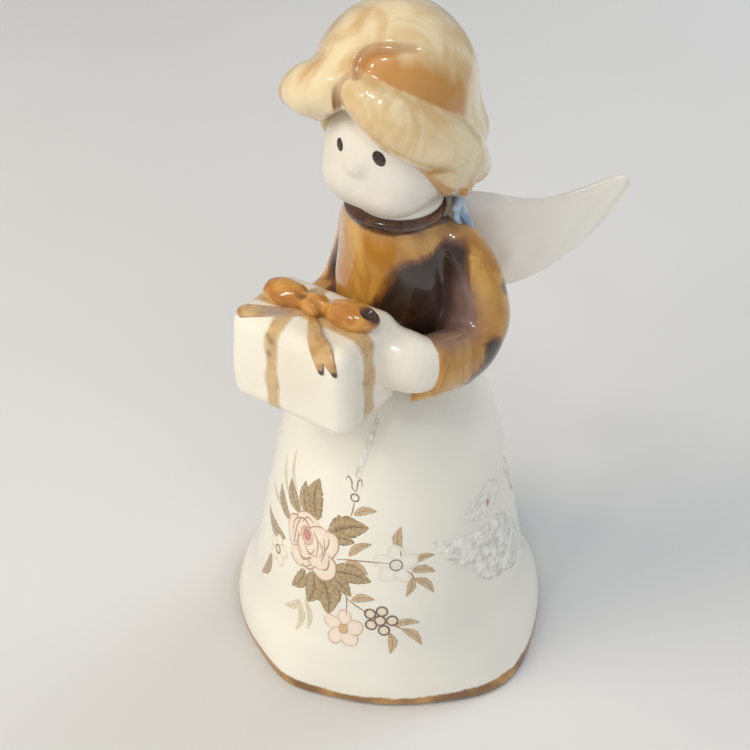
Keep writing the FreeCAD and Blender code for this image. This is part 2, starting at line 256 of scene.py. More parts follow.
def make_piece(name, points, faces, marks=None):
    """A smooth mesh object in metres, with its point attributes."""
    mesh = bpy.data.meshes.new(name)
    mesh.from_pydata((points * MM).tolist(), [], [list(face) for face in faces])
    mesh.shade_smooth()
    for key, values in (marks or {}).items():
        if np.ndim(values) == 1:
            attribute = mesh.attributes.new(key, "FLOAT", "POINT")
            attribute.data.foreach_set("value", array(values).astype(np.float32))
        else:
            attribute = mesh.attributes.new(key, "FLOAT_COLOR", "POINT")
            full = np.concatenate([values, np.ones((len(values), 1))], -1)
            attribute.data.foreach_set("color", full.astype(np.float32).ravel())
    piece = bpy.data.objects.new(name, mesh)
    bpy.context.scene.collection.objects.link(piece)
    return piece


def hollows(field, points, normals):
    """How far each point lies in a crease, from 0 to 1. Materials use it to paint shade into creases, and
    on the honey and amber glazes also glaze that has run into them.
    """
    found = np.zeros(len(points))
    for reach in (0.6, 1.6):
        found = np.maximum(found, 1 - field(points + normals * reach) / reach)
    return np.clip(found, 0, 1)


def moulded(name, field, low, high, cell, paint=None):
    """A piece of smooth porcelain from a field, with how hollow it is at each point."""
    points, faces = net(field, low, high, cell)
    points, normals = settle(field, points, cell)
    marks = {"hollow": hollows(field, points, normals)}
    if paint is not None:
        marks.update(paint(points, normals))
    return make_piece(name, points, faces, marks)


def cast(piece, material, slot, *nodes, body="figure"):
    """Finishes a piece: its material, the body that it rides on and the CAD nodes it stands for."""
    piece.data.materials.append(material)
    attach(piece, body)
    if nodes:
        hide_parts(*nodes)
    return piece


# ---------------------------------------------------------------- materials


def colour(red, green, blue):
    """Screen values from 0 to 255 as linear light, with full opacity."""
    found = []
    for value in (red, green, blue):
        share = value / 255
        found.append(share / 12.92 if share <= 0.04045 else ((share + 0.055) / 1.055) ** 2.4)
    return (*found, 1.0)


class Glaze:
    """A material under construction, round one Principled shader."""

    def __init__(self, name, roughness=0.3, coat=1.0, coat_roughness=0.04):
        self.material = bpy.data.materials.new(name)
        self.material.use_nodes = True
        self.tree = self.material.node_tree
        self.shader = self.tree.nodes["Principled BSDF"]
        self.shader.inputs["Roughness"].default_value = roughness
        self.shader.inputs["Coat Weight"].default_value = coat
        self.shader.inputs["Coat Roughness"].default_value = coat_roughness
        self.place = self.add("ShaderNodeTexCoord").outputs["Object"]

    def add(self, kind, links=None, **settings):
        node = self.tree.nodes.new(kind)
        for key, value in settings.items():
            setattr(node, key, value)
        for key, value in (links or {}).items():
            self.feed(node.inputs[key], value)
        return node

    def feed(self, socket, value):
        if isinstance(value, bpy.types.NodeSocket):
            self.tree.links.new(value, socket)
        else:
            socket.default_value = value

    def noise(self, per_mm, detail=3.0, distortion=0.0, stretch=None):
        """Smooth noise of about 0 to 1, with per_mm features per millimetre."""
        place = self.place
        if stretch:
            place = self.add("ShaderNodeMapping", {0: place, "Scale": stretch}).outputs[0]
        links = {"Vector": place, "Scale": per_mm / MM, "Detail": detail, "Distortion": distortion}
        return self.add("ShaderNodeTexNoise", links).outputs["Fac"]

    def mark(self, name, of_colour=False):
        node = self.add("ShaderNodeAttribute", attribute_name=name)
        return node.outputs["Color" if of_colour else "Fac"]

    def maths(self, a, b, operation="ADD"):
        return self.add("ShaderNodeMath", {0: a, 1: b}, operation=operation).outputs[0]

    def step(self, value, low, high):
        """0 below low, 1 above high, smooth between."""
        links = {"Value": value, "From Min": low, "From Max": high}
        return self.add("ShaderNodeMapRange", links, interpolation_type="SMOOTHSTEP").outputs[0]

    def mix(self, share, a, b):
        links = {0: share, 6: a, 7: b}
        return self.add("ShaderNodeMix", links, data_type="RGBA").outputs[2]

    def wash(self, noise, first, second, low=0.35, high=0.7):
        """first where noise is below low, second where it is above high."""
        return self.mix(self.step(noise, low, high), first, second)

    def part(self, name, share):
        """A mark, weakened to share."""
        return self.maths(self.mark(name), share, "MULTIPLY")

    def pool(self, base, tone, share, low=0.35):
        """Painted shade: a darker tone mixed in where the surface lies in a crease."""
        crease_shade = self.step(self.mark("hollow"), low, 1.0)
        return self.mix(self.maths(crease_shade, share, "MULTIPLY"), base, tone)

    def height(self):
        return self.add("ShaderNodeSeparateXYZ", {0: self.place}).outputs["Z"]

    def bump(self, height, depth_mm, strength=1.0):
        links = {"Height": height, "Distance": depth_mm * MM, "Strength": strength}
        self.feed(self.shader.inputs["Normal"], self.add("ShaderNodeBump", links).outputs[0])

    def done(self, base):
        self.feed(self.shader.inputs["Base Color"], base)
        return self.material


def white_glaze():
    """Clear-glazed porcelain, with faint clouds and orange-peel, and painted shade in its creases."""
    glaze = Glaze("white_glaze", roughness=0.35)
    base = glaze.wash(glaze.noise(0.05, 2.0), colour(238, 234, 224), colour(232, 226, 212))
    # Painted shade: grey mixed into the creases.
    base = glaze.pool(base, colour(176, 172, 160), 0.55)
    glaze.bump(glaze.noise(0.22, 2.0), 0.05)
    return glaze.done(base)


def bisque():
    """The face: satin, a little translucent, with painted shade in its creases."""
    glaze = Glaze("bisque", roughness=0.42, coat=0.55, coat_roughness=0.22)
    glaze.shader.inputs["Subsurface Weight"].default_value = 0.12
    glaze.shader.inputs["Subsurface Scale"].default_value = 0.0015
    base = glaze.wash(glaze.noise(0.09, 2.0), colour(230, 225, 214), colour(218, 210, 196), 0.3, 0.75)
    # Painted shade: grey-brown mixed into the creases of the face.
    base = glaze.pool(base, colour(168, 158, 142), 0.6, 0.3)
    glaze.bump(glaze.noise(0.5, 3.0), 0.02)
    return glaze.done(base)


def hair_glaze():
    """Honey glaze over cream: thin on the crests, brown where it has run together, and darker in the
    creases with painted shade.
    """
    glaze = Glaze("hair_glaze", roughness=0.3)
    streaks = glaze.noise(0.16, 4.0, 0.6, (1.0, 1.0, 0.35))
    lean = glaze.maths(streaks, 0.5, "SUBTRACT")
    base = glaze.wash(streaks, colour(231, 212, 170), colour(208, 174, 120), 0.36, 0.66)
    base = glaze.wash(glaze.maths(glaze.mark("amber"), lean), base, colour(194, 138, 68), 0.2, 1.0)
    # Brown in the creases: partly glaze run together there, partly painted shade.
    base = glaze.wash(glaze.maths(glaze.mark("hollow"), lean), base, colour(150, 102, 54), 0.45, 1.0)
    base = glaze.mix(glaze.part("line", 0.7), base, colour(150, 92, 44))
    glaze.bump(glaze.noise(0.3, 3.0, 0.4, (1.0, 1.0, 0.4)), 0.08)
    return glaze.done(base)


def amber_glaze():
    """Brown-and-amber reactive glaze: amber where thin, chocolate and plum where thick. Painted shade
    darkens its creases and the neckline, and the plum marks are partly a painted sheen on the tops of the
    sleeves.
    """
    glaze = Glaze("amber_glaze", roughness=0.24)
    flow = glaze.noise(0.16, 4.0, 1.2, (1.0, 1.0, 0.6))
    base = glaze.wash(flow, colour(206, 158, 74), colour(178, 122, 46), 0.35, 0.65)
    base = glaze.wash(glaze.noise(0.9, 4.0, 0.5), base, colour(146, 94, 38), 0.64, 0.84)
    dark = glaze.maths(glaze.mark("dark"), glaze.maths(flow, 0.5, "SUBTRACT"))
    # Creases darken here: partly glaze run thick, partly painted shade.
    dark = glaze.maths(dark, glaze.part("hollow", 0.7))
    base = glaze.wash(dark, base, colour(112, 66, 26), 0.3, 0.55)
    base = glaze.wash(dark, base, colour(44, 26, 16), 0.5, 0.8)
    # Plum: the glaze's own mauve, partly a painted sheen on the glossy tops of the sleeves and shoulders.
    base = glaze.mix(glaze.mark("plum"), base, colour(122, 98, 92))
    glaze.bump(glaze.noise(0.25, 3.0), 0.06)
    return glaze.done(base)


def parcel_glaze():
    """Cream-white glaze with painted tan ribbon bands round the box both ways, and painted shade in its
    creases.
    """
    glaze = Glaze("parcel_glaze", roughness=0.33)
    base = glaze.wash(glaze.noise(0.06, 2.0), colour(240, 234, 218), colour(230, 222, 204))
    # Painted shade: grey-brown mixed into the creases, such as where the hands meet the box.
    base = glaze.pool(base, colour(170, 160, 140), 0.6)
    tan = glaze.wash(glaze.noise(0.35, 3.0), colour(206, 172, 112), colour(182, 142, 84))
    base = glaze.mix(glaze.mark("band"), base, tan)
    base = glaze.mix(glaze.mark("brown"), base, colour(86, 52, 26))
    glaze.bump(glaze.noise(0.2, 2.0), 0.06)
    return glaze.done(base)


def bow_glaze(name, first, second, grey):
    """Painted ribbon: a wandering wash, dark where marked (brown paint, and painted shade in the loops'
    openings) and lavender grey where marked plum, and darker in its creases with painted shade.
    """
    glaze = Glaze(name, roughness=0.26)
    base = glaze.wash(glaze.noise(0.28, 3.0, 0.5), first, second, 0.36, 0.66)
    base = glaze.mix(glaze.part("plum", 0.8), base, grey)
    # Painted shade: the creases darken along with the marked dark.
    dark = glaze.maths(glaze.mark("dark"), glaze.part("hollow", 0.6))
    base = glaze.wash(dark, base, colour(66, 38, 26), 0.25, 0.8)
    glaze.bump(glaze.noise(0.4, 3.0), 0.04)
    return glaze.done(base)


def blue_glaze():
    """Pale blue, with painted shade in the creases between strands."""
    glaze = Glaze("blue_glaze", roughness=0.3)
    deep = colour(136, 168, 196)
    base = glaze.wash(glaze.noise(0.35, 3.0), colour(190, 210, 222), deep, 0.36, 0.66)
    # Painted shade: a darker blue mixed into the creases.
    shade = tuple(0.45 * value for value in deep[:3]) + (1.0,)
    base = glaze.mix(glaze.part("hollow", 0.8), base, shade)
    glaze.bump(glaze.noise(0.4, 3.0), 0.04)
    return glaze.done(base)


def skirt_glaze():
    """White glaze with a gold-brown line washed round the hem."""
    glaze = Glaze("skirt_glaze", roughness=0.33)
    base = glaze.wash(glaze.noise(0.035, 2.0), colour(238, 233, 218), colour(228, 224, 212))
    waver = glaze.maths(glaze.noise(0.25, 3.0), 0.0014, "MULTIPLY")
    height = glaze.maths(glaze.height(), waver, "SUBTRACT")
    gold = glaze.wash(glaze.noise(0.16, 3.0), colour(122, 78, 30), colour(190, 142, 66), 0.35, 0.68)
    base = glaze.mix(glaze.step(height, 2.0 * MM, 1.4 * MM), base, gold)
    glaze.bump(glaze.noise(0.1, 2.0), 0.10)
    return glaze.done(base)


def print_glaze():
    """Printed colour under the glaze, faintly speckled, from the mesh's own tints."""
    glaze = Glaze("print_glaze", roughness=0.35)
    speckle = glaze.step(glaze.noise(2.2, 3.0), 0.35, 0.75)
    tint = glaze.mark("tint", of_colour=True)
    return glaze.done(glaze.mix(glaze.maths(speckle, 0.22, "MULTIPLY"), tint, colour(244, 236, 220)))


def residue_glaze(name, first, second, roughness, coat):
    """Old glue or paper, with a reddish stain where the mesh is tinted."""
    glaze = Glaze(name, roughness=roughness, coat=coat, coat_roughness=0.12)
    base = glaze.wash(glaze.noise(0.7, 4.0), first, second)
    stain = glaze.step(glaze.mark("tint"), 0.35, 0.6)
    base = glaze.mix(glaze.maths(stain, 0.8, "MULTIPLY"), base, colour(178, 124, 116))
    glaze.bump(glaze.noise(1.1, 4.0, 0.6), 0.6)
    return glaze.done(base)


def eye_glaze():
    glaze = Glaze("eye_glaze", coat_roughness=0.08)
    return glaze.done(glaze.wash(glaze.noise(1.4, 2.0), colour(38, 24, 16), colour(70, 46, 30)))


def brass_wire():
    glaze = Glaze("brass_wire", roughness=0.28, coat=0.0)
    glaze.shader.inputs["Metallic"].default_value = 1.0
    return glaze.done(glaze.wash(glaze.noise(1.2, 4.0), colour(206, 170, 98), colour(128, 96, 52)))


def cement():
    glaze = Glaze("cement", roughness=0.85, coat=0.0)
    glaze.bump(glaze.noise(1.6, 5.0), 0.25)
    return glaze.done(glaze.mix(glaze.noise(0.9, 5.0), colour(206, 202, 192), colour(158, 152, 140)))


def bead_glaze():
    glaze = Glaze("bead_glaze")
    glaze.bump(glaze.noise(0.3, 2.0), 0.05)
    return glaze.done(glaze.mix(glaze.noise(0.2, 3.0), colour(240, 236, 226), colour(222, 216, 202)))


def floor_paint():
    glaze = Glaze("floor_paint", roughness=0.8, coat=0.0)
    return glaze.done(glaze.mix(glaze.noise(0.01, 3.0), colour(222, 221, 218), colour(214, 213, 210)))


# ---------------------------------------------------------------- skirt

# Waves of the hem: angle, how far they stand out, and their spread in degrees.
HEM_FOLDS = (
    (62, 1.6, 14), (130, 2.2, 15), (198, 0.6, 12), (266, 1.55, 9), (346, 3.2, 15),
)
HEM_FADE = 14.0
SKIRT_TOP = 62.5
SKIRT_PROFILE = (
    (0, 30), (3, 29.9), (6, 29.1), (9, 27.7), (12, 26.6), (16, 25.7), (24, 24.2), (36, 22),
    (46, 19.9), (53, 17.4), (58.5, 14.2), (SKIRT_TOP, 10.4),
)
WALL = 2.6
LIP_RISE = 1.2
BEVEL = 0.6
CEILING = 57.0
CEILING_RADIUS = 9.0
VAULT_FOOT = 50.0
VAULT_RADIUS = 16.2
PLUG_HOLE = 4.0
# The ceiling, the plug's hole and the top: height and radius.
CROWN_ROWS = (
    (CEILING, 7), (CEILING, PLUG_HOLE), (SKIRT_TOP, PLUG_HOLE), (SKIRT_TOP, 8), (SKIRT_TOP, 10.2),
)
PROFILE_LINE = smooth_line(SKIRT_PROFILE, 12)


def skirt_reach(height, angle):
    """Radius of the skirt's outside at heights and angles in degrees, in arrays."""
    reach = np.interp(height, PROFILE_LINE[:, 0], PROFILE_LINE[:, 1])
    fade = np.clip(1 - height / HEM_FADE, 0, 1) ** 2
    for fold, rise, spread in HEM_FOLDS:
        away = (angle - fold + 180) % 360 - 180
        reach = reach + fade * rise * np.exp(-0.5 * (away / spread) ** 2)
    return reach


def make_skirt():
    """The bell: outside, rounded lip, inside and ceiling as one closed shell."""
    lip = WALL / 2
    profile = [(height, 0.0) for height in np.linspace(SKIRT_TOP - BEVEL, LIP_RISE, 92)]
    for turn in np.linspace(0.1, 0.9, 9) * math.pi:
        profile.append((LIP_RISE * (1 - math.sin(turn)), lip * (1 - math.cos(turn))))
    profile += [(height, WALL) for height in np.linspace(LIP_RISE, CEILING - BEVEL, 60)]
    angles = np.arange(0, 360, 1.25)
    rows = []
    for height, inset in profile:
        reach = skirt_reach(np.full(len(angles), height), angles) - inset
        if inset == WALL and height > VAULT_FOOT:
            vault = np.interp(height, (VAULT_FOOT, CEILING), (VAULT_RADIUS, CEILING_RADIUS))
            reach = np.minimum(reach, vault)
        rows.append((height, reach))
    for height, reach in CROWN_ROWS:
        rows.append((height, np.full(len(angles), reach)))
    turn = np.radians(angles)
    points = [np.stack([r * np.cos(turn), r * np.sin(turn), np.full(len(turn), z)], -1) for z, r in rows]
    number = np.arange(len(rows) * len(angles)).reshape(len(rows), -1)
    up, across = np.roll(number, -1, 0), np.roll(number, -1, 1)
    faces = np.stack([number, up, np.roll(up, -1, 1), across], -1).reshape(-1, 4)
    return make_piece("skirt", np.concatenate(points), faces)


# ---------------------------------------------------------------- printed flowers on the skirt


def on_skirt(angle, height, rise):
    """Points at rise outside the skirt, at angles in degrees and heights."""
    reach = skirt_reach(height, angle) + rise
    turn = np.radians(angle)
    return np.stack([reach * np.cos(turn), reach * np.sin(turn), height], -1)


def flat_to_skirt(centre, flat):
    """Angles and heights for flat places in mm, to the right of centre and up from it."""
    angle, height = centre
    reach = np.interp(height, PROFILE_LINE[:, 0], PROFILE_LINE[:, 1])
    return angle + np.degrees(flat[..., 0] / reach), height + flat[..., 1]


class Print:
    """Thin closed slabs of colour that lie on the skirt, gathered into one mesh."""

    SINK = 0.06

    def __init__(self, seed):
        self.random = np.random.default_rng(seed)
        self.points, self.faces, self.tints = [], [], []
        self.count = 0

    def slab(self, angle, height, rise, tint, around=False, capped=False):
        """A slab over a grid of places. around joins the last row to the first, and capped
        then closes the middle, which is column 0."""
        rows, columns = angle.shape
        self.points += [
            on_skirt(angle.ravel(), height.ravel(), rise),
            on_skirt(angle.ravel(), height.ravel(), -self.SINK),
        ]
        self.tints += [tint.reshape(-1, 3)] * 2
        top = self.count + np.arange(rows * columns).reshape(rows, columns)
        under = top + rows * columns
        self.count += 2 * rows * columns
        ahead = np.roll(top, -1, 0) if around else top[1:]
        here = top if around else top[:-1]
        quads = np.stack([here[:, :-1], here[:, 1:], ahead[:, 1:], ahead[:, :-1]], -1).reshape(-1, 4)
        self.faces += [quads, quads[:, ::-1] + rows * columns]
        if around:
            edges = [top[:, -1]] if capped else [top[:, -1], top[::-1, 0]]
            if capped:
                self.cap(top[:, 0], angle, height, rise, tint)
        else:
            edges = [np.concatenate([top[:, 0][::-1], top[0, 1:], top[1:, -1], top[-1, 1:-1][::-1]])]
        for edge in edges:
            after = np.roll(edge, -1)
            down = rows * columns
            self.faces.append(np.stack([edge, edge + down, after + down, after], -1))

    def cap(self, inner, angle, height, rise, tint):
        middle = array([angle[:, 0].mean()]), array([height[:, 0].mean()])
        self.points += [on_skirt(*middle, rise), on_skirt(*middle, -self.SINK)]
        self.tints += [tint[0, :1]] * 2
        after = np.roll(inner, -1)
        centre = np.full(len(inner), self.count)
        down = angle.size
        self.faces.append(np.stack([centre, inner, after], -1))
        self.faces.append(np.stack([centre + 1, after + down, inner + down], -1))
        self.count += 2

    def petal(self, centre, place, radii, lean, rise, fill, edge, wave=0.05, lobes=3, rim=0.9):
        """A rounded petal round place, in mm from centre, with a thin darker outline."""
        turns = np.arange(40) / 40 * 2 * math.pi
        shares = array((0.12, 0.4, 0.65, rim - 0.05, rim, 1.0))
        phase = self.random.uniform(0, 6.3)
        swell = 1 + wave * np.sin(lobes * turns + phase) + wave / 2 * np.sin(2 * lobes * turns - phase)
        x = (radii[0] * np.cos(turns) * swell)[:, None] * shares
        y = (radii[1] * np.sin(turns) * swell)[:, None] * shares
        c, s = math.cos(math.radians(lean)), math.sin(math.radians(lean))
        flat = np.stack([place[0] + x * c - y * s, place[1] + x * s + y * c], -1)
        shade = np.clip((shares - 0.3) / 0.7, 0, 1)[None, :, None] * 0.5
        tint = array(fill) * (1 - shade) + array(fill) * array((0.86, 0.74, 0.66)) * shade
        inked = ((shares >= rim)[None, :] * (np.sin(turns * 1.5 + phase) > -0.75)[:, None])[..., None]
        tint = np.where(inked, array(edge), np.broadcast_to(tint, (40, len(shares), 3)))
        self.slab(*flat_to_skirt(centre, flat), rise, tint, around=True, capped=True)

    def leaf(self, base, tip, half_width, fill, dark, rise=0.02, bend=0.12):
        """A pointed leaf from base to tip, each (angle, height), with a rib and side veins."""
        reach = np.interp(base[1], PROFILE_LINE[:, 0], PROFILE_LINE[:, 1])
        run = array((math.radians(tip[0] - base[0]) * reach, tip[1] - base[1]))
        size = np.linalg.norm(run)
        along, across = run / size, array((-run[1], run[0])) / size
        share = np.linspace(0, 1, 26)
        side = np.linspace(-1, 1, 11)
        half = half_width * np.sin(math.pi * share**0.85) ** 0.8 + 0.03
        half = half * (1 + 0.06 * self.random.normal(size=26))
        curve = bend * size * np.sin(math.pi * share)
        offset = curve[:, None] + half[:, None] * side
        flat = (share * size)[:, None, None] * along + offset[..., None] * across
        vein = np.abs(side)[None] * 0.9 - share[:, None] * 6 * size / 5
        mask = np.clip(np.sin(vein * 5) * 1.5 - 0.9, 0, 0.5) * (half_width > 1)
        mask = np.maximum(mask, np.clip(1.3 - np.abs(side) * 6, 0, 0.9)[None])
        mask = np.maximum(mask, np.clip(np.abs(side) * 6 - 5, 0, 0.85)[None])
        mask = mask[..., None]
        uneven = 1 + 0.05 * self.random.normal(size=(26, 1, 1))
        tint = array(fill) * uneven * (1 - mask) + array(dark) * mask
        self.slab(*flat_to_skirt(base, flat), rise, np.clip(tint, 0, 1))

    def stroke(self, places, width, tint, rise=0.05):
        """A thin line through (angle, height) places, tapered at both ends."""
        line = smooth_line(places, 8)
        reach = np.interp(line[:, 1], PROFILE_LINE[:, 0], PROFILE_LINE[:, 1])
        run = np.gradient(line, axis=0) * np.stack([np.radians(reach), np.ones(len(line))], -1)
        run = run / np.maximum(length(run), 1e-9)[:, None]
        half = width / 2 * (0.35 + 0.65 * np.sin(np.linspace(0, math.pi, len(line))))
        side = array((-1, 0, 1))[None, :, None]
        shift = np.stack([-run[:, 1] / np.radians(reach), run[:, 0]], -1) * half[:, None]
        grid = line[:, None] + shift[:, None] * side
        self.slab(grid[..., 0], grid[..., 1], rise, np.broadcast_to(array(tint), (*grid.shape[:2], 3)))

    def hoop(self, centre, radius, width, tint, rise=0.06):
        turns = np.arange(28) / 28 * 2 * math.pi
        shares = array((radius - width / 2, radius + width / 2))
        flat = np.stack([np.cos(turns)[:, None] * shares, np.sin(turns)[:, None] * shares], -1)
        self.slab(*flat_to_skirt(centre, flat), rise, np.broadcast_to(array(tint), (28, 2, 3)), around=True)

    def piece(self, name):
        faces = [face for group in self.faces for face in group.tolist()]
        made = make_piece(name, np.concatenate(self.points), faces, {"tint": np.concatenate(self.tints)})
        work = bmesh.new()
        work.from_mesh(made.data)
        bmesh.ops.recalc_face_normals(work, faces=work.faces)
        work.to_mesh(made.data)
        work.free()
        return made


def ink(red, green, blue):
    return colour(red, green, blue)[:3]


PINK, ROSE, BROWN_LINE = ink(240, 223, 204), ink(206, 152, 130), ink(176, 136, 108)
OLIVE, DARK_LEAF = ink(168, 140, 92), ink(104, 76, 42)
TAN_LEAF, TAN_DARK = ink(190, 162, 122), ink(146, 110, 76)
DARK_LINE, PALE_LEAF, BERRY = ink(104, 78, 60), ink(214, 204, 174), ink(228, 212, 188)
ROSE_PLACE = (264.6, 29.6)
SIDE_FLOWER, WHITE_FLOWER, PINK_FLOWER = (244.7, 23.4), (306.0, 29.8), (284.6, 15.0)
# The rose's petals, back ones first: place in mm, half sizes, lean in degrees.
ROSE_PETALS = (
    ((-3.9, 0.9), (2.2, 3.7), 8), ((-0.9, 4.2), (3.1, 2.2), -8), ((3.7, 1.7), (2.4, 3.3), -14),
    ((3.3, -3), (2.9, 2.9), 20), ((-1.6, -3.2), (2.9, 2.1), 14), ((-2, 1.2), (2.6, 3.6), 14),
    ((1.7, 2.3), (2.5, 2.6), -30), ((1.5, -1.3), (3.3, 2.6), -24), ((-0.9, -0.9), (2.3, 2.4), 30),
    ((0.9, 0.2), (2.2, 2), -30),
)
ROSE_LINES = (
    ((259, 27), (262, 26), (266, 27.4)), ((266, 33), (269, 31), (269, 28)),
    ((257, 31), (258, 28.6), (261, 27)), ((258.6, 33.4), (261.4, 35), (265.4, 34.6)),
    ((260.4, 30.6), (261.2, 32.8), (264.4, 33.2)), ((262.4, 29), (265.2, 27.8), (268.2, 29.6)),
    ((271.6, 32.4), (273, 29.8), (271.6, 27.4)), ((261.6, 25), (265.6, 24.6), (269.6, 26)),
    ((255.2, 28), (255.6, 31.6), (257.6, 34.2)),
)
# Leaves: the base and the tip as (angle, height), and the half width.
BIG_LEAVES = (
    ((256.5, 34.6), (246, 39.8), 1.5), ((262.5, 35), (257, 41.8), 1.4),
    ((267, 35.4), (265.3, 43.8), 2.1), ((273.5, 33.6), (293.3, 37.1), 2.3),
    ((275, 33), (287, 33.6), 1.5), ((270.8, 25), (277.5, 17), 2.5), ((268, 24.6), (267, 17.6), 2),
    ((276, 26), (295.3, 26), 2), ((275.5, 25), (287, 22.2), 1.5), ((263.5, 24), (257.5, 18.9), 1.4),
    ((249, 27), (228, 28.4), 1.3), ((250, 31.6), (238, 36.6), 1.3), ((240, 20.8), (234, 14.1), 1.1),
)
SMALL_LEAVES = (
    ((284.6, 30.6), (295, 33.9), 0.8), ((283.2, 29.3), (293.8, 27.4), 0.8),
    ((307.7, 32.6), (308.2, 37.6), 0.9), ((313, 30), (323.7, 31), 0.7),
    ((312, 28.4), (323.8, 27.4), 0.8), ((312.6, 27.4), (310.3, 23), 0.75),
    ((313.8, 26.8), (322.5, 23.1), 0.8), ((287, 21.4), (297.3, 22.3), 0.85),
    ((305, 16.9), (316, 17.2), 0.7), ((308.6, 16.2), (316.6, 12.3), 0.8),
    ((303.6, 15.4), (303.9, 11), 0.8), ((285.7, 39.2), (296.7, 40.6), 0.8),
)
PALE_LEAVES = (
    ((262.9, 17), (255.1, 13.8), 0.7), ((262.9, 17), (263.7, 10.5), 0.7),
    ((265.4, 18), (269, 12), 0.6), ((244, 33), (228, 34.5), 0.6), ((247, 36), (238, 43), 0.5),
    ((252, 38), (246, 46), 0.45),
)
STEMS = (
    ((279, 29.2), (286, 29.9), (295, 30.2), (303, 30.2)),
    ((310.5, 28.6), (313, 27.6), (314.4, 26.2)), ((308.2, 31.6), (307.9, 32.8)),
    ((283.2, 23.2), (285, 21.6), (285.4, 18)), ((285, 21.6), (289.6, 20.4), (294, 19.4)),
    ((302, 17.4), (306, 16.8), (310, 15.8)), ((284.2, 38.6), (285, 40), (285.5, 41.8)),
    ((284.2, 38.6), (281.6, 37.6)),
    ((280, 45.6), (281.2, 46.4), (283.2, 45.6), (283.8, 44.4), (285.4, 43.8)),
    ((288.8, 45), (288.2, 46.2), (286.6, 45.8), (286.2, 44.2), (285.4, 43.8)),
)
BERRIES = ((295.4, 19.2), (300.3, 19.9), (299.6, 17.9), (296.0, 16.9), (301.3, 15.9), (304.6, 18.0))


def five_petals(work, centre, reach, size, fill, edge, rise, rim):
    for i in range(5):
        turn = 90 + 72 * i
        place = (reach * math.cos(math.radians(turn)), reach * math.sin(math.radians(turn)))
        work.petal(centre, place, (size, size * 0.86), turn, rise + 0.002 * i, fill, edge, 0.07, 2, rim)


def make_flowers():
    """The spray: a rose, leaves, three small flowers, berries and stems."""
    work = Print(4)
    for base, tip, half in PALE_LEAVES:
        work.leaf(base, tip, half, PALE_LEAF, ink(180, 166, 130))
    for base, tip, half in BIG_LEAVES:
        work.leaf(base, tip, half, OLIVE, DARK_LEAF, 0.022)
    for base, tip, half in SMALL_LEAVES:
        work.leaf(base, tip, half, TAN_LEAF, TAN_DARK)
    for places in STEMS:
        work.stroke(places, 0.22, TAN_DARK)
    five_petals(work, SIDE_FLOWER, 1.7, 1.5, ink(240, 232, 216), ink(196, 176, 150), 0.03, 0.94)
    work.hoop(SIDE_FLOWER, 0.8, 0.3, ink(120, 88, 60))
    for number, (place, radii, lean) in enumerate(ROSE_PETALS):
        work.petal(ROSE_PLACE, place, radii, lean, 0.03 + 0.006 * number, PINK, BROWN_LINE, 0.04, 3, 0.93)
    work.petal(ROSE_PLACE, (-0.9, 1.7), (1.5, 1.9), 15, 0.094, ink(224, 184, 162), ROSE, 0.05, 2)
    heart, heart_edge = ink(196, 124, 108), ink(150, 84, 70)
    work.petal(ROSE_PLACE, (-0.8, 1.9), (0.8, 1.1), 20, 0.10, heart, heart_edge, 0.05, 2, 0.85)
    for places in ROSE_LINES:
        work.stroke(places, 0.26, ink(182, 146, 116), 0.115)
    five_petals(work, WHITE_FLOWER, 2.3, 1.9, ink(234, 232, 218), ink(214, 212, 198), 0.03, 0.95)
    work.hoop(WHITE_FLOWER, 1.1, 0.26, ink(130, 118, 104))
    five_petals(work, PINK_FLOWER, 2.2, 1.8, ink(238, 222, 204), ink(196, 150, 124), 0.03, 0.93)
    eye, eye_edge = ink(206, 172, 112), ink(180, 130, 80)
    work.petal(PINK_FLOWER, (0, 0), (0.9, 1.1), 0, 0.06, eye, eye_edge, 0.1, 4, 0.85)
    for number, centre in enumerate(BERRIES):
        rise = 0.03 + 0.004 * number
        work.petal(centre, (0, 0), (1.1, 1.1), 0, rise, BERRY, BERRY, 0.03, 2)
        work.hoop(centre, 0.98, 0.34, DARK_LINE, 0.06)
    work.hoop((285.6, 42.6), 0.72, 0.22, DARK_LINE)
    return work.piece("flower_print")


# ---------------------------------------------------------------- old label and glue

STAIN_SIZE = array((1.3, 1.1))
# What is left of a label: name, middle, corners as (angle, height), thickness, roughness of the
# surface, seed, and the middle of a reddish stain.
REMAINS = (
    (
        "glue_patch", (358, 26.6),
        (
            (324, 33.3), (340, 32.4), (356, 31.8), (365, 33), (378, 26), (381, 20.6), (373, 17.5),
            (364, 18.6), (351, 20), (338, 26.5), (328, 29.5),
        ),
        0.10, 0.20, 12, None,
    ),
    (
        "label_scrap", (353, 37),
        ((359, 40.5), (339.5, 37), (341.5, 35.4), (348, 34.4), (357, 33.8), (365.3, 36.5), (366, 38.6)),
        0.20, 0.16, 14, (355, 36.6),
    ),
    (
        "glue_strip", (382, 35),
        ((379.7, 40.4), (376.6, 38), (381, 33.5), (385.3, 29.9), (387.6, 31), (385, 36)),
        0.10, 0.12, 16, None,
    ),
    (
        "glue_smear", (289, 51.6),
        (
            (284.6, 46.8), (287.4, 46.8), (289.6, 50), (293, 54), (296, 57.4), (293.6, 57.6),
            (289.8, 54.4), (286.4, 50.4),
        ),
        0.05, 0.05, 18, None,
    ),
)


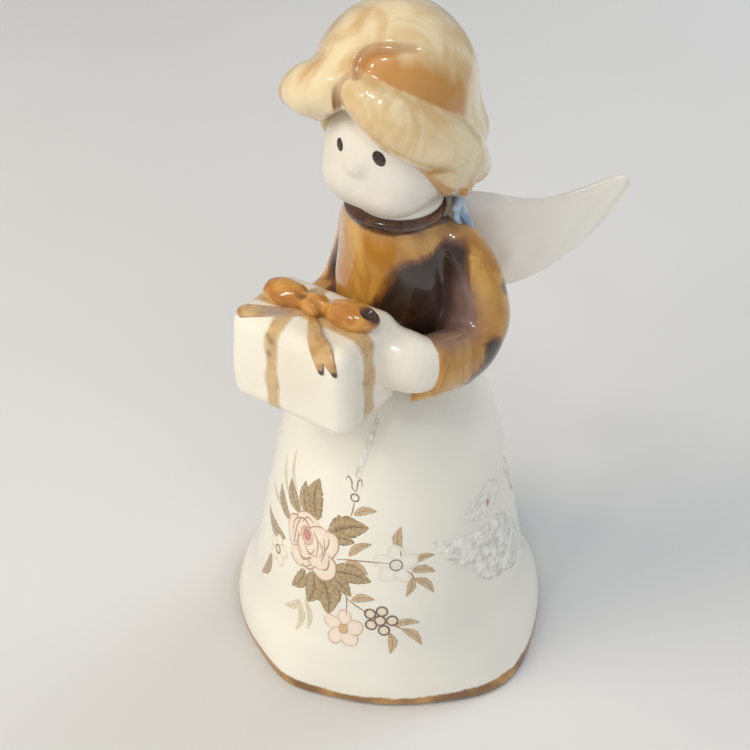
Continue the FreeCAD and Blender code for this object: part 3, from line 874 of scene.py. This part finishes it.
def make_residue(name, centre, outline, rise, rough, seed, stain):
    """A thin crumpled patch on the skirt, tinted at its stain."""
    corners = array(outline)
    count = 96
    loop_line = np.concatenate([corners, corners[:1]])
    spans = np.linspace(0, len(corners), count, endpoint=False)
    edge = np.stack([np.interp(spans, np.arange(len(loop_line)), loop_line[:, i]) for i in (0, 1)], -1)
    random = np.random.default_rng(seed)
    ragged = 1 + 0.05 * np.convolve(random.normal(size=count + 2), (0.3, 0.5, 0.3), "valid")
    shares = np.linspace(0.03, 1, 24)
    spread = edge - array(centre)
    grid = array(centre) + spread[:, None] * shares[None, :, None] * ragged[:, None, None]
    work = Print(seed)
    away = (grid - array(stain or (0, 0))) / STAIN_SIZE
    tint = np.exp(-(away * away).sum(-1))[..., None].repeat(3, -1)
    work.slab(grid[..., 0], grid[..., 1], rise, tint, around=True, capped=True)
    top = work.points[0]
    outward = top * (1, 1, 0) / length(top * (1, 1, 0))[:, None]
    crumple = np.abs(ripple(top, 1.6, seed + 1)) * rough + np.abs(ripple(top, 4.0, seed + 2)) * rough
    falls = np.tile(np.clip((1 - shares) * 8, 0.15, 1), count)
    work.points[0] = top + outward * (crumple * falls)[:, None]
    return work.piece(name)


# ---------------------------------------------------------------- head and hair

HEAD = (1.0, -2.2, 103.2)


def face_field(points):
    shape = ball(points, HEAD, (11.0, 11.4, 11.7))
    shape = union(shape, ball(points, (-2.2, -8.6, 99.2), (4.9, 4.6, 4.2)), 3.0)
    shape = union(shape, ball(points, (5.0, -8.4, 98.8), (5.4, 4.8, 4.4)), 3.0)
    shape = union(shape, ball(points, (1.1, -12.9, 103.7), (1.3, 1.2, 1.2)), 1.8)
    neck = rope(points, ((0.4, -0.8, 98, 5.2), (0.2, -0.4, 94, 5.0), (0, 0, 90, 5.2)))
    return union(shape, neck, 1.0)


# Locks of hair, and lines drawn in them: (x, y, z, radius) along each.
FRONT_ROLL = (
    (0.3, -11.9, 116.6, 2.7), (2.8, -12.1, 115, 3.8), (7.1, -10.3, 111.7, 4.9),
    (10.9, -6, 108, 4.9), (12.3, -0.4, 103.8, 4.1), (12.2, 3.4, 100, 3.1),
)
RIGHT_ROLL = (
    (-2.9, -11.4, 116.2, 2.5), (-4.8, -11.6, 115, 3.8), (-8.2, -11, 113.2, 4.4),
    (-10.9, -10.7, 112.1, 3.5), (-12.6, -11, 111.8, 2.1),
)
HOOK = (
    (7.4, -6.6, 122.2, 0.2), (4.6, -8.6, 122.2, 0.5), (1.8, -10.2, 121.6, 0.7),
    (1, -12, 119.8, 0.6), (1.4, -13.2, 118.6, 0.3),
)
PARTING = (
    (0, -13.6, 118.8, 0.1), (-1, -14.2, 117.4, 0.2), (-1.5, -14.4, 115.6, 0.3),
    (-1.5, -14, 113.2, 0.4), (-1.2, -13, 110.8, 0.4),
)
PUFF = (
    (3.2, -11.4, 119.8, 1), (6.6, -10.2, 118.7, 1), (9.9, -7.6, 117, 1), (12.6, -4, 114.2, 1),
)
SIDE_CURLS = (
    ((8.6, -9.4, 107, 0.8), (10.8, -7.6, 104.2, 1.5), (12.4, -4.2, 101.4, 1.9), (12.8, -0.4, 99.2, 2)),
    ((9, -8.4, 104.6, 0.6), (10.6, -6.4, 101.8, 1.3), (11.8, -3.2, 99.4, 1.6), (12.2, 0.6, 97.6, 1.7)),
    ((9.2, -7, 102.2, 0.5), (10.4, -4.8, 99.8, 1.1), (11.2, -1.8, 97.8, 1.4), (11.4, 1.8, 96.4, 1.4)),
    ((9.2, -5.4, 100, 0.4), (10, -3.2, 98, 0.9), (10.4, -0.4, 96.6, 1.1), (10.4, 2.6, 95.6, 1.1)),
)
NAPE = (
    (10.6, 3.4, 96.6, 2.2), (7.2, 8.4, 94.9, 2.2), (0.4, 10.6, 94.6, 2.3), (-6.4, 8.4, 95, 2.2),
    (-9.8, 3.4, 97, 1.8),
)
LEFT_OF_VIEW = unit((-0.84, -0.54, 0.0))


def hair_field(points):
    crown = ball(points, (0.1, -0.9, 112.4), (13.2, 13.6, 13.7))
    lower = ball(points, (1.2, 2.0, 104.0), (12.8, 12.2, 10.4))
    lower = union(lower, rope(points, NAPE), 1.2)
    lower = both(lower, (points - array(HEAD)) @ LEFT_OF_VIEW - 11.0, 1.0)
    shape = union(crown, lower, 2.5)
    shape = less(shape, ball(points, (1.2, -13.5, 100.6), (10.6, 11.0, 12.6)), 1.0)
    shape = joined(points, shape, SIDE_CURLS, 0.3)
    shape = union(shape, rope(points, RIGHT_ROLL), 1.8)
    front = rope(points, FRONT_ROLL)
    shape = union(shape, front, 0.6)
    for line, depth, wide in ((HOOK, 0.5, 1.0), (PARTING, 0.8, 0.6)):
        groove = np.clip(1 - rope(points, line) / wide, 0, 1)
        shape = shape + depth * groove * groove
    combed = np.sin(np.arctan2(points[:, 1] - 1.0, points[:, 0] - 0.6) * 17 + points[:, 2] * 0.25)
    fade = np.clip((115 - points[:, 2]) / 10, 0, 1) * np.clip(front / 1.5, 0, 1)
    return shape + 0.24 * combed * fade + 0.10 * ripple(points, 7.0, 3)


AMBER_PATCHES = (
    ((-7, -13, 117), 3.2, 0.7), ((-13, -12, 111.6), 2.6, 0.9), ((9.6, -9, 103.6), 2.8, 0.9),
    ((12, -4.6, 100.4), 3.4, 1), ((12, 0, 97.4), 3, 0.8), ((12.6, 1, 117), 3.4, 0.6),
    ((4, -3, 125), 3, 0.4),
)


def hair_paint(points, normals):
    """Amber in the hollow above the front roll, on the right lobe and in the low strands."""
    off_roll = np.clip(rope(points, FRONT_ROLL) / 0.5, 0, 1)
    puff = np.clip(1.3 - (rope(points, PUFF) + 1.0) / 4.2, 0, 1) * off_roll
    low = np.clip((104.5 - points[:, 2]) / 6, 0, 1) * 0.6 * np.maximum(off_roll, 0.4)
    lobe = patches(points, AMBER_PATCHES)
    hook = np.clip(1 - rope(points, HOOK) / 0.9, 0, 1) * 0.7
    parting = np.clip(1 - rope(points, PARTING) / 0.7, 0, 1)
    return {"amber": np.maximum(np.maximum(puff, low), lobe), "line": np.maximum(hook, parting)}


# ---------------------------------------------------------------- jacket

# Height, half width, half depth and how far back the middle is.
BODICE = (
    (61.5, 10.4, 9, 0), (68, 10.6, 9.3, 0), (76, 10.6, 9.4, 0.2), (83, 10.2, 8.8, 0.4),
    (88.5, 9.2, 8.2, 0.3), (91.6, 7, 6.8, 0),
)
LEFT_ARM = (
    (6.6, 2, 86.4, 3.4), (11.2, 2.8, 84, 4.2), (14.6, 2.9, 79, 4.6), (16.4, 2, 73.4, 4.8),
    (16.6, -0.8, 69.9, 4.9), (16.2, -5, 69, 5), (15.2, -9.6, 69.7, 5.2), (14.2, -12.6, 70.3, 5.2),
)
RIGHT_ARM = (
    (-6.2, 2.2, 86, 3.4), (-9.4, 3.8, 83, 3.9), (-10.8, 5, 78, 4.1), (-11.8, 4.8, 72.6, 4.2),
    (-12.8, 2.2, 67.2, 4.4), (-13.8, -3.4, 65.4, 4.6), (-14.2, -9.6, 66.6, 4.9),
)
# The inner side of the left sleeve, where it joins the bodice, and the cuff's drawn-out corner.
LEFT_GUSSET = (
    (9.6, 2.4, 85, 2.4), (11.4, 2.8, 79.6, 3), (12.2, 2.2, 74.4, 3.2), (12, 0.6, 70.6, 3),
    (10, 0, 67, 2.4),
)
CUFF_CORNER = ((17.0, -7.0, 66.6, 2.4), (15.4, -11.6, 65.8, 1.6), (13.8, -15.2, 65.0, 0.5))


def cuffed(points, arm):
    """A sleeve cut off square past its last place."""
    end = array(arm[-1][:3])
    along = unit(end - array(arm[-2][:3]))
    return both(rope(points, arm), (points - end) @ along - 0.6, 0.9)


def jacket_field(points):
    shape = stack(points, BODICE, 1.6)
    left = union(cuffed(points, LEFT_ARM), rope(points, LEFT_GUSSET), 1.6)
    left = union(left, rope(points, CUFF_CORNER), 1.4)
    shape = union(shape, left, 1.3)
    shape = union(shape, cuffed(points, RIGHT_ARM), 1.3)
    shape = union(shape, loop(points, (0, 0, 90.4), 7.2, (1.5, 1.3)), 0.5)
    return shape + 0.12 * ripple(points, 9.0, 8)


# Dark patches of the jacket's glaze: centre, reach, strength.
DARK_PATCHES = (
    ((9.2, -7, 80), 4.4, 1.1), ((9.5, -5, 74.5), 5.2, 1.2), ((4.4, -9.5, 74.6), 3.4, 0.8),
    ((11.4, -1.6, 81), 4, 1.1), ((12, 0, 85), 2.6, 0.9), ((12.2, -1.4, 75), 4.4, 1.2),
    ((17.4, -6.5, 66.6), 4, 1), ((20.8, -2, 69.5), 2.6, 1), ((19.8, 4.4, 79), 2.2, 0.8),
    ((-9.5, -3, 88), 2.6, 0.5), ((-12, -1, 75), 5, 0.8),
)
# Plum patches: the glaze's own mauve, and partly a painted sheen on the glossy tops of the forearm and
# shoulders. Centre, reach, strength.
PLUM_AND_SHEEN_PATCHES = (
    ((14.6, -2.6, 79), 2.8, 0.8), ((15.4, -4, 74.8), 4.2, 1), ((15, -9.4, 75), 4.2, 0.9),
    ((10, 1.5, 88.5), 2.6, 0.6), ((-9.8, -2, 84), 3.4, 0.5), ((8, -4.5, 90), 2.2, 0.5),
)
# Height where the painted shadow at the neck begins.
NECK_SHADOW_START = 88.6


def patches(points, places):
    found = np.zeros(len(points))
    for centre, reach, strength in places:
        found += strength * np.exp(-((length(points - array(centre)) / reach) ** 2))
    return np.clip(found, 0, 0.8)


def jacket_paint(points, normals):
    """Dark patches, a painted shadow darkening the bodice all round the neck, and plum patches that are
    partly a painted sheen.
    """
    # Painted shadow: the bodice darkens towards the neck, as under the chin.
    neck = 0.68 * np.clip((points[:, 2] - NECK_SHADOW_START) / 1.2, 0, 1)
    dark = np.maximum(patches(points, DARK_PATCHES), neck)
    return {"dark": dark, "plum": patches(points, PLUM_AND_SHEEN_PATCHES)}


# ---------------------------------------------------------------- parcel and hands

BOX_LOW = (-13.9, -28.8, 62.2)
BOX_HIGH = (9.9, -12.6, 79.6)
BOX_EDGE = 2.9
# Painted bands: the axis they cross, where, and the half width.
BANDS = ((0, -4.6, 1.25), (1, -22.0, 1.5))
LEFT_HAND = (
    (7.6, -15.4, 72.2, 5), (11.2, -15, 71.8, 5.2), (14, -12.8, 70.8, 4.7), (16, -8, 69.6, 3.4),
)
RIGHT_HAND = (
    (-10, -17, 69, 5.6), (-13, -15, 68.2, 5), (-14.2, -11, 67, 4.4), (-13.8, -6, 66, 3.4),
)
BROWN_SPOTS = (
    (-5.4, -28.8, 78), (-4.6, -28.8, 77.2), (-5, -28.8, 74.6), (9.9, -21, 77.6), (9.9, -22.4, 76.4),
)


def parcel_field(points):
    shape = block(points, BOX_LOW, BOX_HIGH, BOX_EDGE)
    return joined(points, shape, (LEFT_HAND, RIGHT_HAND), 1.8) + 0.28 * ripple(points, 13.0, 5)


def parcel_paint(points, normals):
    band = np.zeros(len(points))
    on_box = np.clip(2 - block(points, BOX_LOW, BOX_HIGH, BOX_EDGE) / 0.7, 0, 1)
    wobble = 0.25 * ripple(points, 5.0, 21)
    for axis, centre, half in BANDS:
        away = np.abs(points[:, axis] - centre) + wobble
        face = np.abs(normals[:, axis]) < 0.75
        band = np.maximum(band, on_box * face * np.clip((half - away) / 0.5 + 0.5, 0, 1))
    return {"band": band * 0.9, "brown": patches(points, [(spot, 0.5, 0.75) for spot in BROWN_SPOTS])}


# ---------------------------------------------------------------- bow


def bow_loop(points, centre, direction, radii, hole):
    """A puffed loop with a soft hole: hole is a place along the loop (0 to 1) and a rise."""
    turn = axes(direction, (0, 0, 1))
    shape = ball(points, centre, radii, turn)
    mouth = array(centre) + unit(direction) * radii[0] * hole[0] + array((0, 0, hole[1]))
    return less(shape, ball(points, mouth, (1.5, 1.1, 1.3), turn), 0.5)


def bow_field(points):
    right = bow_loop(points, (4.9, -19.9, 80.8), (1, 0.14, 0), (4.9, 2.3, 2.8), (0.66, 1.7))
    left = bow_loop(points, (-7.6, -20.6, 80.8), (-1, -0.08, 0), (4.2, 2.4, 2.8), (1.0, 0.3))
    knot = ball(points, (-1.6, -20.8, 80.9), (2.3, 2.2, 1.9))
    shape = union(union(right, left, 1.2), knot, 1.0)
    near_knot = np.exp(-(((points[:, 0] + 1.6) / 5.0) ** 2))
    return shape + 0.16 * near_knot * np.sin(points[:, 1] * 3.4 + points[:, 0] * 0.5)


# Brown paint on the bow, and painted shade in the openings of both loops: centre, reach, strength.
BOW_BROWN_AND_SHADE = (
    ((8.6, -19.2, 81.6), 1.7, 1.1), ((-11.4, -20.4, 81.6), 1.6, 0.9), ((-7, -18, 81.8), 1.3, 0.8),
    ((5, -17.2, 81), 1.2, 0.7), ((-3.6, -21.4, 82.4), 0.9, 0.5),
)
TAILS = (
    ((-2.2, -22.2, 80.8, 1), (-5.2, -24, 80.3, 1.4), (-8.4, -25.6, 80.2, 1.5), (-11.4, -26.8, 79.4, 1.3)),
    (
        (-1, -22.4, 80.8, 1), (1, -24.6, 80.4, 1.2), (3, -27.2, 79.9, 1.3), (4.6, -28.8, 78, 1.1),
        (5.4, -29.2, 75.4, 0.6),
    ),
    ((2.6, -26.4, 79.9, 1), (5, -27.8, 79.4, 1.2), (7, -28.8, 77.6, 1), (8, -29, 75.8, 0.5)),
    ((-1.4, -19.2, 80.6, 1), (0.4, -17.4, 80.4, 1.3), (2, -15.6, 79.9, 1.2)),
)
TAIL_DARK = (
    ((5.5, -29.4, 75.2), 0.9, 1), ((8, -29.2, 75.6), 1, 1.1), ((3, -28, 80.2), 0.7, 0.6),
    ((-4.6, -24.6, 81.4), 0.8, 0.5),
)
TAIL_GREY = (((-6.4, -24.6, 81.2), 3.0, 1.0), ((1.0, -16.8, 81.0), 2.4, 1.0))


def bow_paint(points, normals):
    return {"dark": patches(points, BOW_BROWN_AND_SHADE), "plum": patches(points, ())}


def tail_paint(points, normals):
    return {"dark": patches(points, TAIL_DARK), "plum": patches(points, TAIL_GREY)}


def tail_field(points):
    """The tails, pressed flat to a thin layer over the box."""
    tails = joined(points, np.full(len(points), FAR), TAILS, 0.4)
    cover = block(points, array(BOX_LOW) - 0.45, array(BOX_HIGH) + 0.45, BOX_EDGE + 0.3)
    return both(tails, cover, 0.4)


# ---------------------------------------------------------------- wings, collar, ribbon

WING_ROOT = array((4.0, 7.4, 0.0))
WING_SWEEP = math.radians(30)
FEATHER_DENT = 0.55
# How far out, the lower edge, the upper edge and the thickness.
WING_SECTIONS = (
    (-1, 71, 90, 3.4), (4, 70.6, 90.7, 3.4), (8, 71, 90.7, 3.1), (12, 72.3, 90.1, 2.9),
    (16, 74.2, 89.8, 2.7), (20, 77.1, 90.7, 2.5), (24, 81, 92.4, 2.3), (28, 86.2, 94.4, 2),
    (30.4, 89.8, 95.1, 1.6), (31.2, 91.6, 94.9, 1),
)


def make_wing(name, side):
    """A swept blade, thick along its top edge, with soft feather dents towards its lower edge."""
    line = smooth_line(WING_SECTIONS, 8)
    out = array((side * math.cos(WING_SWEEP), math.sin(WING_SWEEP), 0))
    back = array((-side * math.sin(WING_SWEEP), math.cos(WING_SWEEP), 0))
    turns = np.arange(64) / 64 * 2 * math.pi
    rows = []
    root = WING_ROOT * (side, 1, 1)
    for reach, low, high, thickness in line:
        share = 0.5 + 0.5 * np.sin(turns)
        height = low + (high - low) * share
        thin = 0.78 + 0.35 * share
        feather = np.sin((reach * 0.75 + (1 - share) * 4.0) * 1.15)
        low_down = np.clip(1 - share * 1.5, 0, 1) * np.sin(math.pi * np.clip(share * 1.25, 0, 1))
        dent = FEATHER_DENT * feather * low_down
        depth = np.cos(turns) * thickness / 2 * thin
        depth = depth + np.sign(np.cos(turns)) * dent * np.abs(np.cos(turns))
        cup = 0.5 * np.sin(math.pi * share) * min(reach / 12, 1)
        row = root + out * reach + back * (depth + cup)[:, None]
        row[:, 2] = height
        rows.append(row)
    points = np.concatenate([*rows, [rows[0].mean(0)], [rows[-1].mean(0) + out * 0.15]])
    count, around = len(rows), len(turns)
    number = np.arange(count * around).reshape(count, around)
    beside = np.roll(number, -1, 1)
    quads = np.stack([number[:-1], beside[:-1], beside[1:], number[1:]], -1)
    faces = [list(face) for face in quads.reshape(-1, 4)]
    start, end = count * around, count * around + 1
    for i in range(around):
        after = (i + 1) % around
        faces.append([start, after, i])
        faces.append([end, number[-1, i], number[-1, after]])
    if side > 0:
        faces = [face[::-1] for face in faces]
    return make_piece(name, points, faces, {"hollow": np.zeros(len(points))})


def collar_field(points):
    return loop(points, (0.7, -0.2, 92.4), 5.4, (2.1, 1.4))


RIBBON = (
    ((5.2, 8.6, 91.8, 0.7), (8.2, 6, 91.6, 0.9), (9.8, 3.2, 91.2, 0.8)),
    ((8.6, 5.8, 91.8, 0.8), (10.4, 4.4, 90, 0.85), (11.6, 5, 87.4, 0.7), (12.2, 6, 85, 0.4)),
    ((9.4, 4.6, 91.4, 0.6), (10, 3, 89.6, 0.6), (11.2, 3.6, 87.6, 0.35)),
    ((-8.6, 3, 91.6, 0.6), (-6.4, 7.4, 91.4, 0.75), (0, 9.6, 91.2, 0.75), (5.2, 8.6, 91.6, 0.7)),
)


def ribbon_field(points):
    return joined(points, np.full(len(points), FAR), RIBBON, 0.25)


# ---------------------------------------------------------------- eyes

# Centre, half width, half height and lean in radians.
EYES = (((-2.3, -13.0, 106.2), 0.72, 1.08, -0.55), ((5.0, -12.6, 105.8), 0.92, 1.32, -0.7))


def make_eye(name, centre, half_wide, half_tall, lean):
    """A glossy painted oval that lies on the face."""
    middle, normal = settle(face_field, array([centre]), 1.0)
    turn = axes(normal[0], (math.sin(lean), 0, math.cos(lean)))
    rings, around = 6, 36
    turns = np.arange(around) / around * 2 * math.pi
    flat = [middle[0]]
    for ring in range(1, rings + 1):
        share = ring / rings
        for angle in turns:
            across = turn[:, 2] * half_wide * share * math.cos(angle)
            along = turn[:, 1] * half_tall * share * math.sin(angle)
            flat.append(middle[0] + across + along)
    return disc_piece(name, array(flat), rings, around, face_field, 0.1)


def disc_piece(name, flat, rings, around, field, rise):
    """A thin closed pad over a field's surface: a domed top and a bottom just below it."""
    top, normals = settle(field, flat, 1.0)
    share = np.concatenate([[0], np.repeat(np.arange(1, rings + 1) / rings, around)])
    dome = rise * np.sqrt(np.clip(1 - share**2, 0, 1))
    high, low = top + normals * (dome + 0.02)[:, None], top - normals * 0.12
    count = len(flat)
    faces = []
    for i in range(around):
        after = (i + 1) % around
        faces.append([0, 1 + i, 1 + after])
        faces.append([count, count + 1 + after, count + 1 + i])
        for ring in range(rings - 1):
            a, b = 1 + ring * around, 1 + (ring + 1) * around
            faces.append([a + i, b + i, b + after, a + after])
            faces.append([count + a + after, count + b + after, count + b + i, count + a + i])
        edge = 1 + (rings - 1) * around
        faces.append([edge + i, count + edge + i, count + edge + after, edge + after])
    return make_piece(name, np.concatenate([high, low]), faces)


# ---------------------------------------------------------------- stage

AIM = (0, 0, 0.07)
FLOOR_HALF = 1500
FLOOR_DEPTH = -0.02
WARM, COOL, PLAIN = (1.0, 0.91, 0.77), (0.84, 0.91, 1.0), (1.0, 0.97, 0.92)


def add_camera():
    """At the photograph's angle: 33 degrees round to the figure's left, 36 degrees up."""
    azimuth, elevation, roll = math.radians(33), math.radians(36), math.radians(1)
    towards = Vector(
        (
            math.sin(azimuth) * math.cos(elevation),
            -math.cos(azimuth) * math.cos(elevation),
            math.sin(elevation),
        )
    )
    right = Vector((math.cos(azimuth), math.sin(azimuth), 0))
    up = towards.cross(right)
    rolled_right = right * math.cos(roll) + up * math.sin(roll)
    rolled_up = up * math.cos(roll) - right * math.sin(roll)
    camera = bpy.data.objects.new("camera", bpy.data.cameras.new("camera"))
    bpy.context.scene.collection.objects.link(camera)
    turn = Matrix((rolled_right, rolled_up, towards)).transposed().to_4x4()
    camera.matrix_world = Matrix.Translation((Vector((0, 0, 60)) + towards * 260) * MM) @ turn
    camera.data.lens = 70.0
    camera.data.shift_x = -0.024
    camera.data.shift_y = -0.032
    camera.data.clip_start = 0.01
    bpy.context.scene.camera = camera


def round_light(name, place, size, power, tint, mirrored):
    """A round lamp aimed at the figure. An unmirrored one lights the glaze but doesn't show in it."""
    light = bpy.data.lights.new(name, "AREA")
    light.shape = "DISK"
    light.size = size
    light.energy = power
    light.color = tint
    lamp = bpy.data.objects.new(name, light)
    lamp.location = place
    lamp.rotation_euler = (Vector(place) - Vector(AIM)).to_track_quat("Z", "Y").to_euler()
    lamp.visible_glossy = mirrored
    bpy.context.scene.collection.objects.link(lamp)


def add_stage():
    """A plain pale floor, a dim sky, three soft lamps and two small ones that sparkle on the glaze."""
    corners = ((-1, -1), (1, -1), (1, 1), (-1, 1))
    points = array([(x * FLOOR_HALF, y * FLOOR_HALF, FLOOR_DEPTH) for x, y in corners])
    floor = make_piece("floor", points, [[0, 1, 2, 3]])
    floor.data.materials.append(floor_paint())
    world = bpy.data.worlds.new("world")
    world.use_nodes = True
    background = world.node_tree.nodes["Background"]
    background.inputs["Color"].default_value = (0.86, 0.88, 0.92, 1)
    background.inputs["Strength"].default_value = 0.40
    bpy.context.scene.world = world
    round_light("key", (-0.36, -0.42, 0.50), 0.45, 3.1, WARM, False)
    round_light("fill", (0.50, -0.42, 0.30), 0.50, 1.1, COOL, False)
    round_light("back", (0.15, 0.55, 0.45), 0.40, 1.6, COOL, False)
    round_light("sparkle_high", (0.10, -0.34, 0.64), 0.10, 0.55, PLAIN, True)
    round_light("sparkle_low", (-0.05, -0.50, 0.52), 0.08, 0.35, PLAIN, True)
    bpy.context.scene.view_settings.view_transform = "Standard"


# ---------------------------------------------------------------- assembly


def dress_cad_nodes():
    """Materials for the clapper, its wires and the cement button, which keep their CAD shapes."""
    finishes = {
        brass_wire(): ("clapper_staple", "clapper_link", "clapper_stem", "stem_ferrule"),
        cement(): ("crown_plug",),
        bead_glaze(): ("clapper_bead",),
    }
    for material, names in finishes.items():
        for name in names:
            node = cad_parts[name]
            node.data.materials.clear()
            node.data.materials.append(material)


def add_label_remains():
    glue = residue_glaze("glue_film", colour(248, 246, 236), colour(212, 209, 196), 0.16, 1.0)
    paper = residue_glaze("label_paper", colour(240, 237, 228), colour(226, 218, 206), 0.5, 0.6)
    for name, *shape in REMAINS:
        cast(make_residue(name, *shape), paper if name == "label_scrap" else glue, "porcelain")


def add_bow():
    lavender = colour(160, 150, 150)
    bow = moulded("bow", bow_field, (-14, -25, 77), (12, -15, 85.5), 0.25, bow_paint)
    amber = bow_glaze("bow_glaze", colour(206, 150, 66), colour(176, 112, 40), lavender)
    cast(bow, amber, "bow_glaze", "bow_knot", "bow_loop_left", "bow_loop_right")
    tails = moulded("bow_tails", tail_field, (-14, -32, 72), (13, -12, 84), 0.25, tail_paint)
    tan = bow_glaze("tail_glaze", colour(206, 170, 116), colour(178, 134, 80), lavender)
    cast(tails, tan, "bow_glaze", "bow_tail_left", "bow_tail_right")


def build():
    cast(make_skirt(), skirt_glaze(), "porcelain", "bell_skirt")
    cast(make_flowers(), print_glaze(), "porcelain")
    add_label_remains()
    face = moulded("face", face_field, (-13, -17, 88.5), (15, 12, 117), 0.45)
    cast(face, bisque(), "bisque", "head")
    hair = moulded("hair", hair_field, (-17, -19, 90), (20, 17, 128.5), 0.36, hair_paint)
    locks = ("hair_crown", "fringe_left", "fringe_right", "side_lock", "nape_roll")
    cast(hair, hair_glaze(), "hair_glaze", *locks)
    jacket = moulded("jacket", jacket_field, (-21, -18, 59), (24, 13, 94), 0.42, jacket_paint)
    cast(jacket, amber_glaze(), "amber_glaze", "bodice", "neckline", "left_sleeve", "right_sleeve")
    parcel = moulded("parcel", parcel_field, (-20, -31, 59), (19, -8, 82), 0.42, parcel_paint)
    cast(parcel, parcel_glaze(), "porcelain", "gift_box", "left_hand", "right_hand")
    add_bow()
    white = white_glaze()
    for name, node, side in (("wing_left", "left_wing", 1), ("wing_right", "right_wing", -1)):
        cast(make_wing(name, side), white, "porcelain", node)
    collar = moulded("collar_roll", collar_field, (-9, -10, 90), (9, 8, 95.5), 0.35)
    cast(collar, white, "porcelain", "collar")
    ribbon = moulded("neck_bow", ribbon_field, (-11, 0, 83), (14.5, 12, 94), 0.2)
    cast(ribbon, blue_glaze(), "blue_glaze", "neck_ribbon")
    for number, eye in enumerate(EYES):
        cast(make_eye(f"eye_{number}", *eye), eye_glaze(), "hair_glaze")
    dress_cad_nodes()


build()
add_stage()
add_camera()
